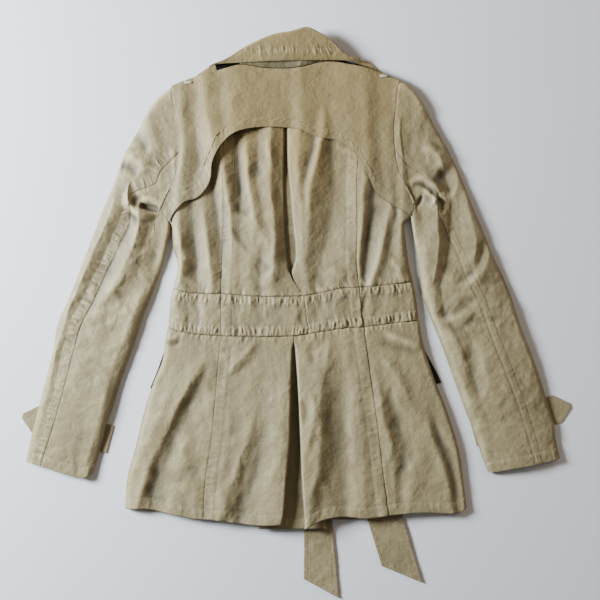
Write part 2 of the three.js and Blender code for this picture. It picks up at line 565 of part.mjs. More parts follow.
// Sleeves: each is a top and an under piece that meet in the back seam and, below it, the front seam.
// Each piece goes from the back seam round its own edge of the flat sleeve and back underneath.
const sleeveHeight = (x, y, v) => {
  const flat = SLEEVE_HEIGHT + foldHeight(SLEEVE_FOLDS, x, y);
  return mix(flapHeight(x, y), flat, ease(v * 5));
};
const strapBed = (straps, x, y) => Math.max(...straps.map(({ from, to }) => {
  const [dx, dy] = [to[0] - from[0], to[1] - from[1]];
  const aside = Math.abs((x - from[0]) * dy - (y - from[1]) * dx) / Math.hypot(dx, dy);
  return (CLOTH + PLY_GAP) * (1 - ease((aside - STRAP_WIDTH / 2 - 24) / 40));
}));
const STRAPS = [
  { name: 'cuff_strap_left', from: [-299, -201], to: [-440, -163] },
  { name: 'cuff_strap_right', from: [284, -190], to: [440, -146.5] },
];
const sleevePiece = (name, edges, roll) => {
  const flat = sheet(edges.top, edges.bottom, edges.left, edges.right);
  const placed = inset(flat);
  const lastRow = placed.length - 1;
  const rows = placed.map((row, i) => {
    const v = i / lastRow;
    const ordered = roll === 'left' ? row : reversed(row);
    const topSide = ordered.map((point, j) => {
      const full = sleeveHeight(point.x, point.y, v);
      const rise = j < ROLL_ANGLES.length ? Math.sin(ROLL_ANGLES[j]) : 1;
      return point.clone().setZ(full / 2 * (1 + rise));
    });
    const underSide = ordered.map((point, j) => {
      const half = sleeveHeight(point.x, point.y, v) / 2;
      const rise = j < ROLL_ANGLES.length ? Math.sin(ROLL_ANGLES[j]) : 1;
      return point.clone().setZ(mix(half, strapBed(STRAPS, point.x, point.y), rise));
    });
    const round = [...reversed(topSide), ...underSide.slice(1)];
    return roll === 'left' ? reversed(round) : round;
  });
  add(name, wall(rows, SLEEVE_WALL));
};
const sleeve = (side, table, arm) => {
  const upper = arm.slice(0, CELLS.sleeve + 1);
  const lower = arm.slice(CELLS.sleeve);
  const rows = CELLS.sleeveRows;
  const outerHem = steps(table.hem.slice(0, 2), CELLS.sleeve);
  const innerHem = steps(table.hem.slice(1), CELLS.sleeve);
  const seam = between(lastOf(upper), steps(table.seam, rows), innerHem[0]);
  const outer = between(upper[0], steps(table.outer, rows), outerHem[0]);
  const inner = between(lastOf(lower), steps(table.inner, rows), lastOf(innerHem));
  const hemOut = withRoll(outerHem, SIDE_ROLL);
  const hemIn = withRoll(innerHem, SIDE_ROLL, true);
  if (side === 'left') {
    sleevePiece('sleeve_left_top', { top: upper, bottom: hemOut, left: outer, right: seam }, 'left');
    sleevePiece('sleeve_left_under', { top: lower, bottom: hemIn, left: seam, right: inner }, 'right');
    return;
  }
  sleevePiece('sleeve_right_top',
    { top: reversed(upper), bottom: reversed(hemOut), left: seam, right: outer }, 'right');
  sleevePiece('sleeve_right_under',
    { top: reversed(lower), bottom: reversed(hemIn), left: inner, right: seam }, 'left');
};
sleeve('left', SLEEVE_LEFT, armLeft);
sleeve('right', SLEEVE_RIGHT, armRight);

// Fronts, face down on what they lie on. The left front overlaps the right one at the middle.
const overlapRise = (x) => (CLOTH + PLY_GAP) * ease((x + 134) / 30);
const frontHeight = {
  left: (x, y) => bedHeight(x, y) + overlapRise(x),
  right: bedHeight,
};
const frontPanel = (name, edges, side) => {
  const roll = { side, seam: SIDE_SEAM_HEIGHT - SEAM_GAP, from: edges.rollFrom };
  const rows = raise(inset(sheet(edges.top, edges.bottom, edges.left, edges.right)), frontHeight[side], roll);
  const levelSide = side === 'left' ? 'right' : 'left';
  add(name, wall(rows.map(reversed), CLOTH, { levelSide, from: roll.from }), KHAKI_DARK);
};
const level = (from, to, side) => withRoll(steps([from, to], CELLS.front), SIDE_ROLL, side === 'right');
const frontLevels = {
  left: {
    shoulder: withRoll(steps(FRONT_SHOULDER_LEFT, CELLS.front), SIDE_ROLL),
    waistTop: level([-197, 41], [60, 45], 'left'),
    waistLow: level([-205, -20], [60, -24], 'left'),
    hem: level([-274, -311], [60, -325], 'left'),
  },
  right: {
    shoulder: withRoll(steps(FRONT_SHOULDER_RIGHT, CELLS.front), SIDE_ROLL, true),
    waistTop: level([-60, 45], [187, 52], 'right'),
    waistLow: level([-60, -24], [196, -9], 'right'),
    hem: level([-60, -325], [273, -309], 'right'),
  },
};
['left', 'right'].forEach((side) => {
  const isLeft = side === 'left';
  const lines = frontLevels[side];
  const frontEdge = isLeft ? FRONT_EDGE_LEFT : FRONT_EDGE_RIGHT;
  const sides = isLeft
    ? [sideLeft, bandLines[0], skirtLines.sideLeft]
    : [sideRight, bandLines[4], skirtLines.sideRight];
  const inner = (run) => (isLeft ? lastOf(run) : run[0]);
  const straight = (a, b, cells) => steps([[a.x, a.y], [b.x, b.y]], cells);
  const middles = [
    between(inner(lines.shoulder), steps(frontEdge, backRows), inner(lines.waistTop)),
    straight(inner(lines.waistTop), inner(lines.waistLow), CELLS.band),
    straight(inner(lines.waistLow), inner(lines.hem), CELLS.skirt),
  ];
  const runs = [lines.shoulder, lines.waistTop, lines.waistLow, lines.hem];
  ['front', 'waist_front', 'skirt_front'].forEach((part, i) => {
    const [left, right] = isLeft ? [sides[i], middles[i]] : [middles[i], sides[i]];
    const rollFrom = i === 0 ? leftRoll.from : 0;
    frontPanel(`${part}_${side}`, { top: runs[i], bottom: runs[i + 1], left, right, rollFrom }, side);
  });
});

// Flat pieces on the surface below the fronts: lapels, collar points, belt, knot, ties, welts, straps
const plate = (name, outline, height = CLOTH, color = KHAKI) => {
  const shape = new THREE.Shape(outline.map(([x, y]) => new THREE.Vector2(x, y)));
  add(name, new THREE.ExtrudeGeometry(shape, { depth: height, bevelEnabled: false }), color);
};
plate('lapel_left', LAPEL_LEFT);
plate('lapel_right', LAPEL_RIGHT);
plate('collar_point_left', COLLAR_POINT_LEFT);
plate('collar_point_right', COLLAR_POINT_RIGHT);
const oblong = (left, right, low, high) => [[left, low], [right, low], [right, high], [left, high]];
const beltLow = (KNOT.low + KNOT.high - BELT_WIDTH) / 2;
plate('belt_left', oblong(-190, KNOT.left - SEAM_GAP, beltLow, beltLow + BELT_WIDTH));
plate('belt_right', oblong(KNOT.right + SEAM_GAP, 182, beltLow, beltLow + BELT_WIDTH));
plate('belt_knot', oblong(KNOT.left, KNOT.right, KNOT.low, KNOT.high), BUTTON_HEIGHT);
const tie = (name, edges) => {
  const left = steps(edges.left, 8).map((point) => [point.x, point.y]);
  const right = steps(edges.right, 8).map((point) => [point.x, point.y]);
  plate(name, [...left, ...right.reverse()]);
};
tie('belt_end_left', TIE_LEFT);
tie('belt_end_right', TIE_RIGHT);
plate('pocket_welt_left', WELT_LEFT, CLOTH, POCKETING);
plate('pocket_welt_right', WELT_RIGHT, CLOTH, POCKETING);

const STRAP_POINT = 22;
const TIP_WIDTH = 8;
STRAPS.forEach(({ name, from, to }) => {
  const length = Math.hypot(to[0] - from[0], to[1] - from[1]);
  const place = (along, aside) => {
    const [ux, uy] = [(to[0] - from[0]) / length, (to[1] - from[1]) / length];
    return [from[0] + ux * along - uy * aside, from[1] + uy * along + ux * aside];
  };
  plate(name, [
    place(0, -STRAP_WIDTH / 2), place(length - STRAP_POINT, -STRAP_WIDTH / 2),
    place(length, -TIP_WIDTH / 2), place(length, TIP_WIDTH / 2),
    place(length - STRAP_POINT, STRAP_WIDTH / 2), place(0, STRAP_WIDTH / 2),
  ]);
});

// Buttons: turned discs with a raised rim, face down under the overlap of the fronts
BUTTONS.forEach(({ x, y }, i) => {
  const profile = [[0, 0.5], [0.72, 0.5], [0.8, 0], [0.95, 0], [1, 0.4], [1, 0.8], [0.8, 1], [0, 1]]
    .map(([r, z]) => new THREE.Vector2(r * BUTTON_RADIUS, z * BUTTON_HEIGHT));
  const geometry = new THREE.LatheGeometry(profile, 16).rotateX(Math.PI / 2).translate(x, y, 0);
  add(`button_${i + 1}`, geometry, HORN, 0.5);
});

// Collar: the fall folds over the roll line and comes back under to the stand, which rises from the neck
const collarAlong = (x) => (x - COLLAR_FOLD[0][0]) / (COLLAR_FOLD.at(-1)[0] - COLLAR_FOLD[0][0]);
const COLLAR = { end: 12, peak: 26, edgeEnd: 10.5, edge: 18.5, roll: 2.8, cells: 14 };
const swell = (x) => Math.sin(Math.PI * Math.min(Math.max(collarAlong(x), 0), 1)) ** 0.8;
const foldTop = (x) => mix(COLLAR.end, COLLAR.peak, swell(x));
const fallEdge = (x) => mix(COLLAR.edgeEnd, COLLAR.edge, swell(x));
const foldLine = steps(COLLAR_FOLD, COLLAR.cells);
const edgeLine = steps(COLLAR_EDGE, COLLAR.cells);
const fallShares = [0.1, 0.3, 0.65, 1];
const fallRows = foldLine.map((fold, i) => {
  const at = (share, z) => fold.clone().lerp(edgeLine[i], share).setZ(z);
  const top = foldTop(fold.x);
  const edge = fallEdge(fold.x);
  const under = [0.3, 0.1].map((share) => at(share, top - 2 * COLLAR.roll - share * (top - edge) * 0.4));
  const over = fallShares.map((share) => at(share, mix(top, edge, share ** 1.4)));
  return [...under, at(0, top - COLLAR.roll), ...over];
});
add('collar_fall', wall(fallRows.slice().reverse(), CLOTH));

const standCells = 8;
const neck = span(SHOULDER, -90, 48, standCells);
const standTop = steps(STAND_TOP, standCells);
const besideNeck = new THREE.Vector3(0, 0.8, 0);
const standRows = [0, 0.5, 1].map((share) => neck.map((point, i) => {
  const base = flapHeight(point.x, point.y);
  const top = foldTop(standTop[i].x) - 2 * COLLAR.roll - 1.2;
  return point.clone().add(besideNeck).lerp(standTop[i], share).setZ(mix(base, top, share));
}));
add('collar_stand', wall(standRows.reverse(), CLOTH));

// Thread loops at the shoulder points, on the flap
const LOOPS = [{ name: 'shoulder_loop_left', x: -173, y: 370 }, { name: 'shoulder_loop_right', x: 139, y: 380 }];
const LOOP = { length: 12, width: 4, height: 1, arch: 0.8 };
LOOPS.forEach(({ name, x, y }) => {
  const rows = [0.5, 0, -0.5].map((aside) => [-0.5, -0.25, 0, 0.25, 0.5].map((along) => {
    const point = new THREE.Vector3(x + along * LOOP.length, y + aside * LOOP.width, 0);
    const arch = LOOP.arch * Math.cos(along * Math.PI);
    return point.setZ(flapHeight(point.x, point.y) + SEAM_GAP + LOOP.height + arch);
  }));
  add(name, wall(rows, LOOP.height));
});

export default coat;
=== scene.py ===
# Trench coat laid flat with its back up on a pale floor, seen from straight above.
# The scene is in metres. Tables and heights are in millimetres, in the frame of the solids:
# +Y towards the collar, +X to the right, +Z up from the floor.
import json
import math
import bmesh
import bpy
import numpy as np
from mathutils import Matrix, Vector

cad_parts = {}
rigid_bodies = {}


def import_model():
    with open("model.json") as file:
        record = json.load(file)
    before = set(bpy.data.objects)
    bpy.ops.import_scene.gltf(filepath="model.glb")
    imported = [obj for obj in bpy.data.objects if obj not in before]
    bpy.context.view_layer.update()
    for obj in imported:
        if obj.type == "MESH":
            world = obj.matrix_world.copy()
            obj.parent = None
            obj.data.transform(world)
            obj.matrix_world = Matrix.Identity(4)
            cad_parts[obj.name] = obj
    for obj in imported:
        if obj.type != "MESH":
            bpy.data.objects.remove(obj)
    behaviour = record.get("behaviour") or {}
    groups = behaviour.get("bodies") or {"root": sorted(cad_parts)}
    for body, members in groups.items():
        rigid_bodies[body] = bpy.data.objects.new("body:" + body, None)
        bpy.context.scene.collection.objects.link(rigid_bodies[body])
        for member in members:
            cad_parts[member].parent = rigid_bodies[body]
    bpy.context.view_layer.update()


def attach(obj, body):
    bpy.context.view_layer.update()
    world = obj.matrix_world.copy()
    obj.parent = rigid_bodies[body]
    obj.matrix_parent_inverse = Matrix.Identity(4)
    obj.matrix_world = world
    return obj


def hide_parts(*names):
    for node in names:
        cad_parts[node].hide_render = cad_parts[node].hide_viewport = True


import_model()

# Camera: straight above the coat, far enough up that the frame covers 960 mm at the coat's back,
# with the coat a little below and left of the middle, as in the photograph
CAMERA_HEIGHT = 1.608
camera_data = bpy.data.cameras.new("camera")
camera_data.sensor_width = 36
camera_data.lens = 60
camera = bpy.data.objects.new("camera", camera_data)
camera.location = (0.006, 0.023, CAMERA_HEIGHT)
bpy.context.collection.objects.link(camera)
bpy.context.scene.camera = camera


# Floor: a plain pale board, painted matt white, that the coat lies on. It is only the stage. Its paint
# is slightly uneven, which keeps it from looking like an empty background.
def linear(code):
    """An sRGB hex colour as linear red, green, blue and alpha"""
    parts = [int(code[i:i + 2], 16) / 255 for i in (1, 3, 5)]
    return [c / 12.92 if c <= 0.04045 else ((c + 0.055) / 1.055) ** 2.4 for c in parts] + [1]


def node(tree, kind, inputs=None, **settings):
    """Adds a shader node. An input is given a value or, from a socket, a link."""
    made = tree.nodes.new(kind)
    for key, value in settings.items():
        setattr(made, key, value)
    for key, value in (inputs or {}).items():
        if isinstance(value, bpy.types.NodeSocket):
            tree.links.new(value, made.inputs[key])
        else:
            made.inputs[key].default_value = value
    return made


def surface(name):
    """A new material with its node tree and its principled shader"""
    material = bpy.data.materials.new(name)
    material.use_nodes = True
    return material, material.node_tree, material.node_tree.nodes["Principled BSDF"]


floor_paint, tree, shader = surface("matt_white_board")
place = node(tree, "ShaderNodeTexCoord")
clouds = node(tree, "ShaderNodeTexNoise", {"Vector": place.outputs["Object"], "Scale": 3.0, "Detail": 4.0})
tone = node(tree, "ShaderNodeValToRGB", {"Fac": clouds.outputs["Fac"]})
tone.color_ramp.elements[0].color = linear("#E4E4E8")
tone.color_ramp.elements[1].color = linear("#ECEBEE")
tree.links.new(tone.outputs["Color"], shader.inputs["Base Color"])
shader.inputs["Roughness"].default_value = 0.75

bm = bmesh.new()
bmesh.ops.create_grid(bm, x_segments=1, y_segments=1, size=3)
floor_mesh = bpy.data.meshes.new("floor")
bm.to_mesh(floor_mesh)
bm.free()
floor = bpy.data.objects.new("floor", floor_mesh)
floor.location.z = -0.0004
floor_mesh.materials.append(floor_paint)
bpy.context.collection.objects.link(floor)


# Light: a wide window at the left, low and a little towards the collar, which rakes over the creases;
# a weak reflection from a warm wall at the right, and a dim warm room that fills the shadows
def area_light(name, location, size, power, color):
    data = bpy.data.lights.new(name, "AREA")
    data.shape = "SQUARE"
    data.size = size
    data.energy = power
    data.color = color
    lamp = bpy.data.objects.new(name, data)
    lamp.location = location
    lamp.rotation_euler = (-Vector(location)).to_track_quat("-Z", "Y").to_euler()
    bpy.context.collection.objects.link(lamp)


area_light("window", (-1.75, 0.5, 0.88), 0.6, 152, (0.84, 0.93, 1.0))
area_light("warm_wall", (1.9, 1.5, 1.6), 1.4, 17, (1.0, 0.82, 0.60))
room = bpy.data.worlds.new("room")
room.use_nodes = True
room.node_tree.nodes["Background"].inputs["Color"].default_value = (1.0, 0.95, 0.87, 1)
room.node_tree.nodes["Background"].inputs["Strength"].default_value = 0.145
bpy.context.scene.world = room


# Upper back: four panels of one layer of cotton gabardine from the shoulders to the waistband. Two long
# princess seams are felled towards the centre, the sides are sewn to the fronts, and the middle two
# panels stay open along the centre over a pleat. It lies on the fronts, creased by wear.
MM = 0.001

# Cotton gabardine: a tight, steep twill, given a wash in the piece and showing wear. Its colour follows the
# relief:
# ridges paler, partly from wear and partly as painted highlight, hollows browner as painted shade, and round
# the neck a darker gold, painted warm shade. The hard-spun yarn gives a dull, dry face. The twill lines are
# drawn
# 0.85 mm apart, twice as coarse as the real ones, which would not show at this size.
TWILL_PITCH = 0.00085


def gabardine(name, light, middle, deep):
    """Washed gabardine: a ridge colour from wear and painted highlight, a plain colour, and a hollow colour
    as painted shade
    """
    material, tree, shader = surface(name)
    cut = node(tree, "ShaderNodeUVMap", uv_map="cut")
    place = node(tree, "ShaderNodeTexCoord")
    relief = node(tree, "ShaderNodeAttribute", attribute_name="relief")
    wash = node(tree, "ShaderNodeTexNoise",
                {"Vector": place.outputs["Object"], "Scale": 9.0, "Detail": 5.0, "Roughness": 0.6})
    fleck = node(tree, "ShaderNodeTexNoise",
                 {"Vector": place.outputs["Object"], "Scale": 300.0, "Detail": 4.0, "Roughness": 0.75})
    # Relief shades the colour: ridges paler by wear and painted highlight, hollows and hem rims darker by
    # painted shade
    shade = node(tree, "ShaderNodeMath", {0: relief.outputs["Fac"], 1: 0.2}, operation="MULTIPLY")
    wash_and_relief_shade = node(tree, "ShaderNodeMath", {0: wash.outputs["Fac"], 1: 0.3, 2: shade.outputs[0]},
                  operation="MULTIPLY_ADD")
    flecked = node(tree, "ShaderNodeMath", {0: fleck.outputs["Fac"], 1: 0.2, 2: wash_and_relief_shade.outputs[0]},
                   operation="MULTIPLY_ADD")
    centred = node(tree, "ShaderNodeMath", {0: flecked.outputs[0], 1: 0.24}, operation="ADD")
    ramp = node(tree, "ShaderNodeValToRGB", {"Fac": centred.outputs[0]})
    ramp.color_ramp.elements[0].position = 0.2
    ramp.color_ramp.elements[0].color = linear(deep)
    ramp.color_ramp.elements[1].position = 0.8
    ramp.color_ramp.elements[1].color = linear(light)
    ramp.color_ramp.elements.new(0.5).color = linear(middle)
    # Round the neck and collar the colour is multiplied towards a darker gold: painted warm shade
    reach = node(tree, "ShaderNodeVectorMath", {0: place.outputs["Object"], 1: (0.0, 0.37, 0.02)},
                 operation="DISTANCE")
    neck_shade_mask = node(tree, "ShaderNodeMapRange",
                {"Value": reach.outputs["Value"], "From Min": 0.10, "From Max": 0.27,
                 "To Min": 0.9, "To Max": 0.0}, interpolation_type="SMOOTHSTEP")
    gold_neck_shade = node(tree, "ShaderNodeMix",
                    {0: neck_shade_mask.outputs["Result"], 6: ramp.outputs["Color"], 7: (0.93, 0.84, 0.66, 1)},
                    data_type="RGBA", blend_type="MULTIPLY")
    tree.links.new(gold_neck_shade.outputs[2], shader.inputs["Base Color"])

    # The twill runs up to the right along the cut, with slubs in its yarn. Over it lie two sizes of
    # crinkle: the gap between two fields of cells gives flat facets that meet in crisp ridges.
    axes = node(tree, "ShaderNodeSeparateXYZ", {0: cut.outputs["UV"]})
    slant = node(tree, "ShaderNodeMath", {0: axes.outputs["X"], 1: axes.outputs["Y"]}, operation="SUBTRACT")
    turns = node(tree, "ShaderNodeMath", {0: slant.outputs[0], 1: 2 * math.pi / TWILL_PITCH},
                 operation="MULTIPLY")
    twill = node(tree, "ShaderNodeMath", {0: turns.outputs[0]}, operation="SINE")
    slubs = node(tree, "ShaderNodeTexNoise", {"Vector": cut.outputs["UV"], "Scale": 900.0, "Detail": 2.0})
    bent = node(tree, "ShaderNodeTexNoise", {"Vector": place.outputs["Object"], "Scale": 60.0, "Detail": 2.0})
    near = node(tree, "ShaderNodeMix", {0: 0.012, 4: place.outputs["Object"], 5: bent.outputs["Color"]},
                data_type="VECTOR")
    facets = []
    for first, second in ((150.0, 165.0), (44.0, 49.0)):
        ridges, valleys = (node(tree, "ShaderNodeTexVoronoi", {"Vector": near.outputs[1], "Scale": scale})
                           for scale in (first, second))
        high, low = (node(tree, "ShaderNodeMath", {0: cells.outputs["Distance"], 1: 2.0}, operation="POWER")
                     for cells in (ridges, valleys))
        facets.append(node(tree, "ShaderNodeMath", {0: high.outputs[0], 1: low.outputs[0]},
                           operation="SUBTRACT"))
    weave = node(tree, "ShaderNodeMath", {0: twill.outputs[0], 1: 0.25, 2: slubs.outputs["Fac"]},
                 operation="MULTIPLY_ADD")
    fine = node(tree, "ShaderNodeBump", {"Height": weave.outputs[0], "Strength": 0.35, "Distance": 0.00012})
    crinkled = node(tree, "ShaderNodeBump",
                    {"Height": facets[0].outputs[0], "Strength": 0.55, "Distance": 0.0005,
                     "Normal": fine.outputs["Normal"]})
    rumpled = node(tree, "ShaderNodeBump",
                   {"Height": facets[1].outputs[0], "Strength": 0.8, "Distance": 0.0008,
                    "Normal": crinkled.outputs["Normal"]})
    tree.links.new(rumpled.outputs["Normal"], shader.inputs["Normal"])
    rough = node(tree, "ShaderNodeMapRange",
                 {"Value": fleck.outputs["Fac"], "To Min": 0.52, "To Max": 0.68})
    tree.links.new(rough.outputs["Result"], shader.inputs["Roughness"])
    shader.inputs["Specular IOR Level"].default_value = 0.4
    shader.inputs["Sheen Weight"].default_value = 0.08
    shader.inputs["Sheen Roughness"].default_value = 0.4
    return material


cotton = gabardine("stone_cotton_gabardine", "#AFA079", "#8D7F5D", "#564E3C")


# Seams: the lines that the back is cut and sewn on, from the same places as the solids
def seam(rows):
    """A smooth line through rows of x, y, as a function from share of length to points"""
    p = np.array(rows, float)
    p = np.vstack([2 * p[0] - p[1], p, 2 * p[-1] - p[-2]])
    knot = np.concatenate([[0], np.cumsum(np.linalg.norm(np.diff(p, axis=0), axis=1) ** 0.5)])
    pieces = []
    for k in range(1, len(p) - 2):
        t = np.linspace(knot[k], knot[k + 1], 33)[:, None]
        def blend(a, b, i, j):
            return ((knot[j] - t) * a + (t - knot[i]) * b) / (knot[j] - knot[i])
        a1, a2, a3 = (blend(p[i - 1], p[i], i - 1, i) for i in (k, k + 1, k + 2))
        b1, b2 = blend(a1, a2, k - 1, k + 1), blend(a2, a3, k, k + 2)
        pieces.append(blend(b1, b2, k, k + 1)[:-1])
    line = np.vstack(pieces + [p[-2:-1]])
    share = np.concatenate([[0], np.cumsum(np.linalg.norm(np.diff(line, axis=0), axis=1))])
    share /= share[-1]
    return lambda t: np.stack([np.interp(t, share, line[:, k]) for k in (0, 1)], axis=-1)


def part(line, from_x, to_x):
    """The stretch of a left-to-right line between two x positions"""
    t = np.linspace(0, 1, 600)
    a, b = np.interp([from_x, to_x], line(t)[:, 0], t)
    return lambda s: line(a + (b - a) * s)


def mix(a, b, t):
    return a + (b - a) * t


def ease(t):
    k = np.clip(t, 0, 1)
    return k * k * (3 - 2 * k)


def patch(top, bottom, left, right):
    """The flat sheet between four lines, as a function from shares across and down to x and y"""
    corners = [top(np.zeros(1))[0], top(np.ones(1))[0], bottom(np.zeros(1))[0], bottom(np.ones(1))[0]]

    def place(u, v):
        across = mix(left(v), right(v), u[..., None])
        down = mix(top(u), bottom(u), v[..., None])
        square = mix(mix(corners[0], corners[1], u[..., None]), mix(corners[2], corners[3], u[..., None]),
                     v[..., None])
        return across + down - square
    return place


def after(*lines):
    """Lines that follow each other, as one"""
    return seam(lines[0] + [p for line in lines[1:] for p in line[1:]])


SHOULDER = seam([[-199, 365], [-168, 377], [-136, 386], [-111, 393], [-88, 398], [-47, 393],
                 [3, 394], [48, 404], [86, 399], [121, 391], [147, 381], [166, 373]])
WAIST_TOP = seam([[-197, 41], [-166, 34], [-120, 33], [-64, 29], [13, 30], [41, 35], [74, 42], [100, 43],
                  [187, 52]])
ARM_LEFT = [[-199, 365], [-197, 340], [-189, 305], [-186, 276], [-187, 257], [-191, 231], [-200, 205],
            [-211, 185], [-218, 172], [-202, 147]]
ARM_RIGHT = [[166, 373], [163, 365], [159, 327], [156, 301], [158, 263], [161, 242], [167, 223],
             [175, 205], [183, 191], [188, 174], [183, 156]]
SIDE_LEFT = [[-202, 147], [-197, 105], [-190, 82], [-192, 60], [-197, 41]]
SIDE_RIGHT = [[183, 156], [174, 145], [175, 121], [179, 90], [182, 71], [187, 52]]
PRINCESS_LEFT = seam([[-114, 393], [-116, 284], [-117, 183], [-118, 103], [-120, 33]])
PRINCESS_RIGHT = seam([[94, 398], [98, 249], [96, 213], [97, 135], [96, 87], [100, 43]])
PLEAT_LEFT = seam([[-18, 393], [-18, 298], [-19, 220], [-17, 146], [-13, 90], [-10, 65], [1, 45], [13, 30]])
PLEAT_RIGHT = seam([[-15, 393], [-15, 297], [-14, 237], [-10, 192], [-6, 146], [-2, 109], [-2, 87],
                    [-7, 67], [2, 45], [13, 30]])

# Body sections: where the sides are and how high the back lies. Columns: y, left, right, side, middle
BODY = np.array([
    [-340, -276, 275, 8.8, 15.5],
    [-150, -243, 239, 8.8, 15],
    [-20, -205, 196, 8.6, 13.5],
    [40, -197, 187, 8.6, 13],
    [170, -214, 184, 9.5, 13],
    [300, -190, 157, 10.5, 12],
    [400, -205, 175, 9.5, 10.5],
])

# Creases of the upper back from left to right, each by points of x, y and height over the laid body.
# The cloth lies in flat facets from one crease to the next.
BACK_CREASES = [
    [(-205, 300, 0), (-204, 160, 0), (-199, 85, 0), (-200, 40, 0)],
    [(-196, 300, 0), (-190, 160, 4.3), (-185, 120, 8), (-184, 80, 8), (-188, 45, 4.3)],
    [(-182, 300, -1.4), (-172, 178, -2), (-165, 140, -4.3), (-162, 100, -4.6), (-159, 60, -3.8),
     (-157, 45, -2.2)],
    [(-160, 300, 0), (-150, 178, 0), (-143, 120, 3.5), (-139, 80, 5.2), (-134, 45, 4.9)],
    [(-146, 300, -1.4), (-136, 210, -2.3), (-127, 160, -4.6), (-121, 120, -5.2), (-120, 80, -2.9),
     (-119, 45, 0)],
    [(-122, 290, 1.4), (-117, 240, 4.3), (-112, 200, 5.8), (-106, 160, 4.3), (-101, 120, 3.5),
     (-102, 45, 2)],
    [(-96, 290, -2.9), (-92, 240, -4.9), (-90, 200, -3.8), (-92, 160, 0.6), (-90, 120, 2.3),
     (-92, 45, 0.9)],
    [(-81, 290, 0), (-78, 240, 2.3), (-76, 200, 4.3), (-67, 160, 5.2), (-64, 120, 4.1), (-74, 80, 2.9),
     (-76, 45, 2.3)],
    [(-64, 290, -2.3), (-64, 240, -2.9), (-62, 200, 0.6), (-54, 160, 2.9), (-50, 120, 4.6),
     (-58, 80, 1.4), (-58, 45, 0)],
    [(-42, 295, 2.9), (-42, 240, 4.3), (-41, 200, 4.6), (-37, 160, 6.4), (-34, 120, 7.8),
     (-35, 80, 7.2), (-40, 45, 3.5)],
    [(-19, 295, -4.3), (-19, 200, -4.9), (-18, 146, -4.3), (-15, 90, -2.3), (-12, 62, 0), (4, 42, 0)],
    [(-14, 295, -1.4), (-12, 200, -0.6), (-8, 146, 0), (-4, 90, 0), (-8, 62, 0), (8, 42, 0)],
    [(3, 290, 2), (1, 240, 3.2), (4, 200, 3.8), (9, 160, 4.3), (10, 120, 4.1), (9, 80, 2.6), (12, 50, 1.4)],
    [(30, 285, -0.9), (20, 240, -1.2), (11, 200, 2.6), (14, 160, 4.3), (14, 120, 4.1), (11, 80, 2.6),
     (14, 50, 1.4)],
    [(42, 285, 4.3), (32, 240, 5.5), (19, 195, 6.1), (20, 160, 5.2), (19, 120, 4.1), (14, 80, 2.6),
     (16, 50, 1.4)],
    [(56, 285, -3.8), (58, 240, -5.8), (60, 200, -7), (58, 160, -7.2), (50, 120, -6.4), (38, 80, -4.3),
     (30, 50, -1.4)],
    [(76, 285, -2), (76, 240, -2.3), (79, 200, -2.9), (78, 160, -3.2), (70, 120, -2), (62, 80, -0.6),
     (56, 50, 1.4)],
    [(97, 285, 2.6), (97, 240, 2.3), (97, 160, 1.7), (97, 120, 0.9), (98, 80, 0), (98, 50, 0)],
    [(109, 285, 3.5), (109, 240, 4.3), (107, 200, 4.9), (105, 160, 4.3), (103, 120, 2.9),
     (101, 80, 1.4), (101, 50, 1.3)],
    [(128, 285, 0), (126, 240, 0), (125, 200, -1.2), (121, 160, -3.8), (115, 120, -5.8),
     (110, 80, -5.8), (106, 50, -2.9)],
    [(149, 285, 1.4), (150, 190, 2), (147, 160, 2.9), (140, 120, 4.6), (128, 80, 4.3), (117, 50, 2.9)],
    [(156, 285, 0), (159, 190, 0), (160, 160, -0.9), (152, 120, 0.6), (142, 80, 0), (134, 50, 0)],
    [(166, 285, 2.6), (170, 190, 2.9), (168, 160, 3.8), (165, 120, 3.5), (164, 80, 3.8), (168, 50, 2.9)],
    [(170, 285, 0), (186, 160, 0), (178, 120, 0), (182, 80, 0), (188, 45, 0)],
]

